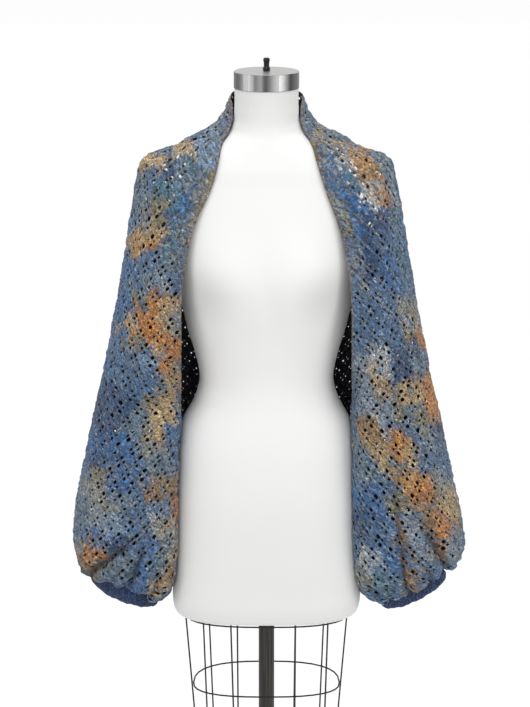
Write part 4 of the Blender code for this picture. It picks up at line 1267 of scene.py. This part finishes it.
def make_form(material):
    """The form's jersey cover, drawn taut over it: smoother than the CAD's facets."""
    levels = np.linspace(0, len(TORSO) - 1, FORM_ROWS)
    heights = np.interp(levels, range(len(TORSO)), [level.height for level in TORSO])
    half_width, front, back, corner = (values[:, None] for values in torso_level(heights))
    angle = np.linspace(0, 2 * math.pi, FORM_COLUMNS, endpoint=False)[None, :]
    across, deep = rounded(angle, corner)
    across = across * half_width
    reach = np.where(deep < 0, front + bust(across, heights[:, None]), back)
    ring = nudged(np.stack([across, deep * reach, heights[:, None] + 0 * across], axis=-1), SHOULDER_NUDGES)
    number = np.arange(ring.shape[0] * ring.shape[1]).reshape(ring.shape[:2])
    beside = np.roll(number, -1, axis=1)
    sides = np.stack([number[1:], beside[1:], beside[:-1], number[:-1]], axis=-1).reshape(-1, 4)
    ends = [tuple(number[0]), tuple(number[-1][::-1])]
    mesh = bpy.data.meshes.new("form_jersey")
    mesh.from_pydata(ring.reshape(-1, 3).tolist(), [], sides.tolist() + ends)
    mesh.shade_smooth()
    mesh.set_sharp_from_angle(angle=FORM_SHARP)
    mesh.materials.append(material)
    piece = add_object("form_jersey", mesh)
    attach(piece, "root")
    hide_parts("torso")


# ---- the cuffs ----
RIBS = 58
RIB_STEPS = 6
RIB_HEIGHT = 0.0013
RIB_SHADE_TONES = (0.25, 1.35)  # painted shade in the grooves and painted highlight on the ribs: how light the grooves between the ribs are, and what is added up to a rib's top
RIB_COURSES = 11
RIB_FUZZ = 0.00012
RIB_MOTTLE = 0.34
CUFF_ROWS = 14
RIM_WAVES = (9, 21)  # large and small waves round the mouth
RIM_WAVE = 0.00084  # by which it waves up and down
RIM_SPREAD = 0.012  # by which it waves out and in, as a share of its size
RIM_DEPTH = 0.0285  # half the depth of the mouth


def make_cuff(name, node, material, is_right):
    """A ribbed tube. Its ribs run from the gathers down to its mouth."""
    random = np.random.default_rng(SEED + is_right)
    columns = RIBS * RIB_STEPS
    table, lift = (CUFF_RIGHT, RIGHT_LIFT) if is_right else (CUFF_LEFT, LEFT_LIFT)
    rings = np.stack([spaced_evenly(sleeve_section(row), columns) for row in table])
    points = smooth(np.arange(len(table)), rings, np.linspace(0, len(table) - 1, CUFF_ROWS + 1))
    around = np.linspace(0, 1, columns + 1)[None, :]
    down = np.linspace(0, 1, CUFF_ROWS + 1)[:, None]
    turn = 2 * math.pi * around
    rim = np.sin(RIM_WAVES[0] * turn + random.uniform(0, 6)) + 0.6 * np.sin(RIM_WAVES[1] * turn)
    out = points - points.mean(axis=1, keepdims=True)
    points[..., 2] += RIM_WAVE * rim * down**2
    points[..., 2] += lift.seam * (1 - down) * bump((1 - around - lift.at) / lift.half_width)
    points[..., 2] += RIM_DROP * down**1.5 * np.clip(out[..., 1] / RIM_DEPTH, -1, 0.6)
    points = points + out * (RIM_SPREAD * rim * down**2)[..., None]
    if is_right:
        points = swung_out(points)
    else:
        points = (points * np.array((-1, 1, 1)))[:, ::-1]
    normals = -normals_of(points)
    rib = np.abs(np.sin(math.pi * RIBS * around)) ** 0.8
    points = points + normals * (RIB_HEIGHT * (rib - 0.5))[..., None]
    points = points + normals * random.normal(0, RIB_FUZZ, points.shape[:2])[..., None]
    points[:, -1] = points[:, 0]
    normals = -normals_of(points)
    normals[:, 0] = normals[:, -1] = (normals[:, 0] + normals[:, -1]) / 2
    grain = np.repeat(random.normal(0, RIB_MOTTLE, (CUFF_ROWS + 1, RIBS * 2)), RIB_STEPS // 2, axis=1)
    shade = (RIB_SHADE_TONES[0] + RIB_SHADE_TONES[1] * rib) * np.exp(np.c_[grain, grain[:, :1]])
    colour = linear(CUFF_YARN) * shade[..., None]
    flat = np.stack(np.broadcast_arrays(around * RIBS * 2, down * RIB_COURSES), axis=-1)
    none = np.zeros(points.shape[:2], bool)
    # The inner face is half as light as the outer: painted shade.
    piece = shell(name, points, normals, none, colour, colour * 0.5, flat, material)
    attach(piece, "root")
    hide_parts(node)
    return piece


# ---- the stage ----
FLOOR_REACH = 14
FLOOR_TOP = -0.0005  # just under the foot
LIT_PLACE = (0, 0, 1.15)  # that the lights face
DAYLIGHT = 0.62  # of the plain surroundings
WALL = (0.985, 0.985, 0.99, 1)


def make_stage():
    mesh = bpy.data.meshes.new("floor")
    corners = [(FLOOR_REACH * x, FLOOR_REACH * y, 0) for x, y in ((-1, -1), (1, -1), (1, 1), (-1, 1))]
    mesh.from_pydata(corners, [], [(0, 1, 2, 3)])
    mesh.materials.append(floor_material())
    floor = add_object("floor", mesh)
    floor.location.z = FLOOR_TOP


def add_light(name, place, size, power):
    data = bpy.data.lights.new(name, "AREA")
    data.shape = "RECTANGLE"
    data.size, data.size_y = size
    data.energy = power
    light = add_object(name, data)
    light.location = place
    light.rotation_euler = (Vector(LIT_PLACE) - Vector(place)).to_track_quat("-Z", "Y").to_euler()


def make_lights():
    add_light("key", (-0.3, -1.9, 7.0), (3.2, 2.6), 275)
    add_light("fill", (0.4, -4.8, 1.2), (5.0, 2.4), 20)
    add_light("side_left", (-3.6, -2.0, 1.7), (2.0, 2.6), 21)
    add_light("side_right", (3.6, -2.0, 1.7), (2.0, 2.6), 36)
    add_light("back_left", (-2.6, 2.6, 2.6), (1.2, 2.4), 20)
    add_light("back_right", (2.6, 2.6, 2.6), (1.2, 2.4), 20)


def make_surroundings():
    """Daylight from all round, and a pale wall where the camera sees past the floor."""
    world = bpy.data.worlds.new("studio")
    bpy.context.scene.world = world
    world.use_nodes = True
    tree = world.node_tree
    tree.nodes.clear()
    mix = tree.nodes.new("ShaderNodeMixShader")
    for index, colour, strength in ((1, (1, 1, 1, 1), DAYLIGHT), (2, WALL, 1.0)):
        light = tree.nodes.new("ShaderNodeBackground")
        light.inputs["Color"].default_value = colour
        light.inputs["Strength"].default_value = strength
        tree.links.new(light.outputs[0], mix.inputs[index])
    tree.links.new(tree.nodes.new("ShaderNodeLightPath").outputs["Is Camera Ray"], mix.inputs[0])
    tree.links.new(mix.outputs[0], tree.nodes.new("ShaderNodeOutputWorld").inputs["Surface"])
    bpy.context.scene.view_settings.view_transform = "Standard"


# ---- the CAD nodes that stay ----
def finish_nodes():
    finishes = {"neck_cap": steel_material(), "cap_knob": black_material("black_knob", 0.18, 0.0, 0.25)}
    finishes |= dict.fromkeys(("pole", "base_collar", "base_disc"), gunmetal_material())
    wires = [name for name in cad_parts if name.startswith("cage_")]
    finishes |= dict.fromkeys(wires, black_material("black_wire", 0.30, 0.4))
    for name, finish in finishes.items():
        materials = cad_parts[name].data.materials
        materials.clear()
        materials.append(finish)


# ---- the scene ----
make_camera()
make_stage()
make_lights()
make_surroundings()
finish_nodes()
make_form(cover_material())
knit = knit_material("space_dyed_knit", 1.0)
rib_knit = knit_material("navy_rib", 0.0)
cloth = make_shrug(knit)
cuff_left = make_cuff("rib_cuff_left", "cuff_left", rib_knit, False)
cuff_right = make_cuff("rib_cuff_right", "cuff_right", rib_knit, True)
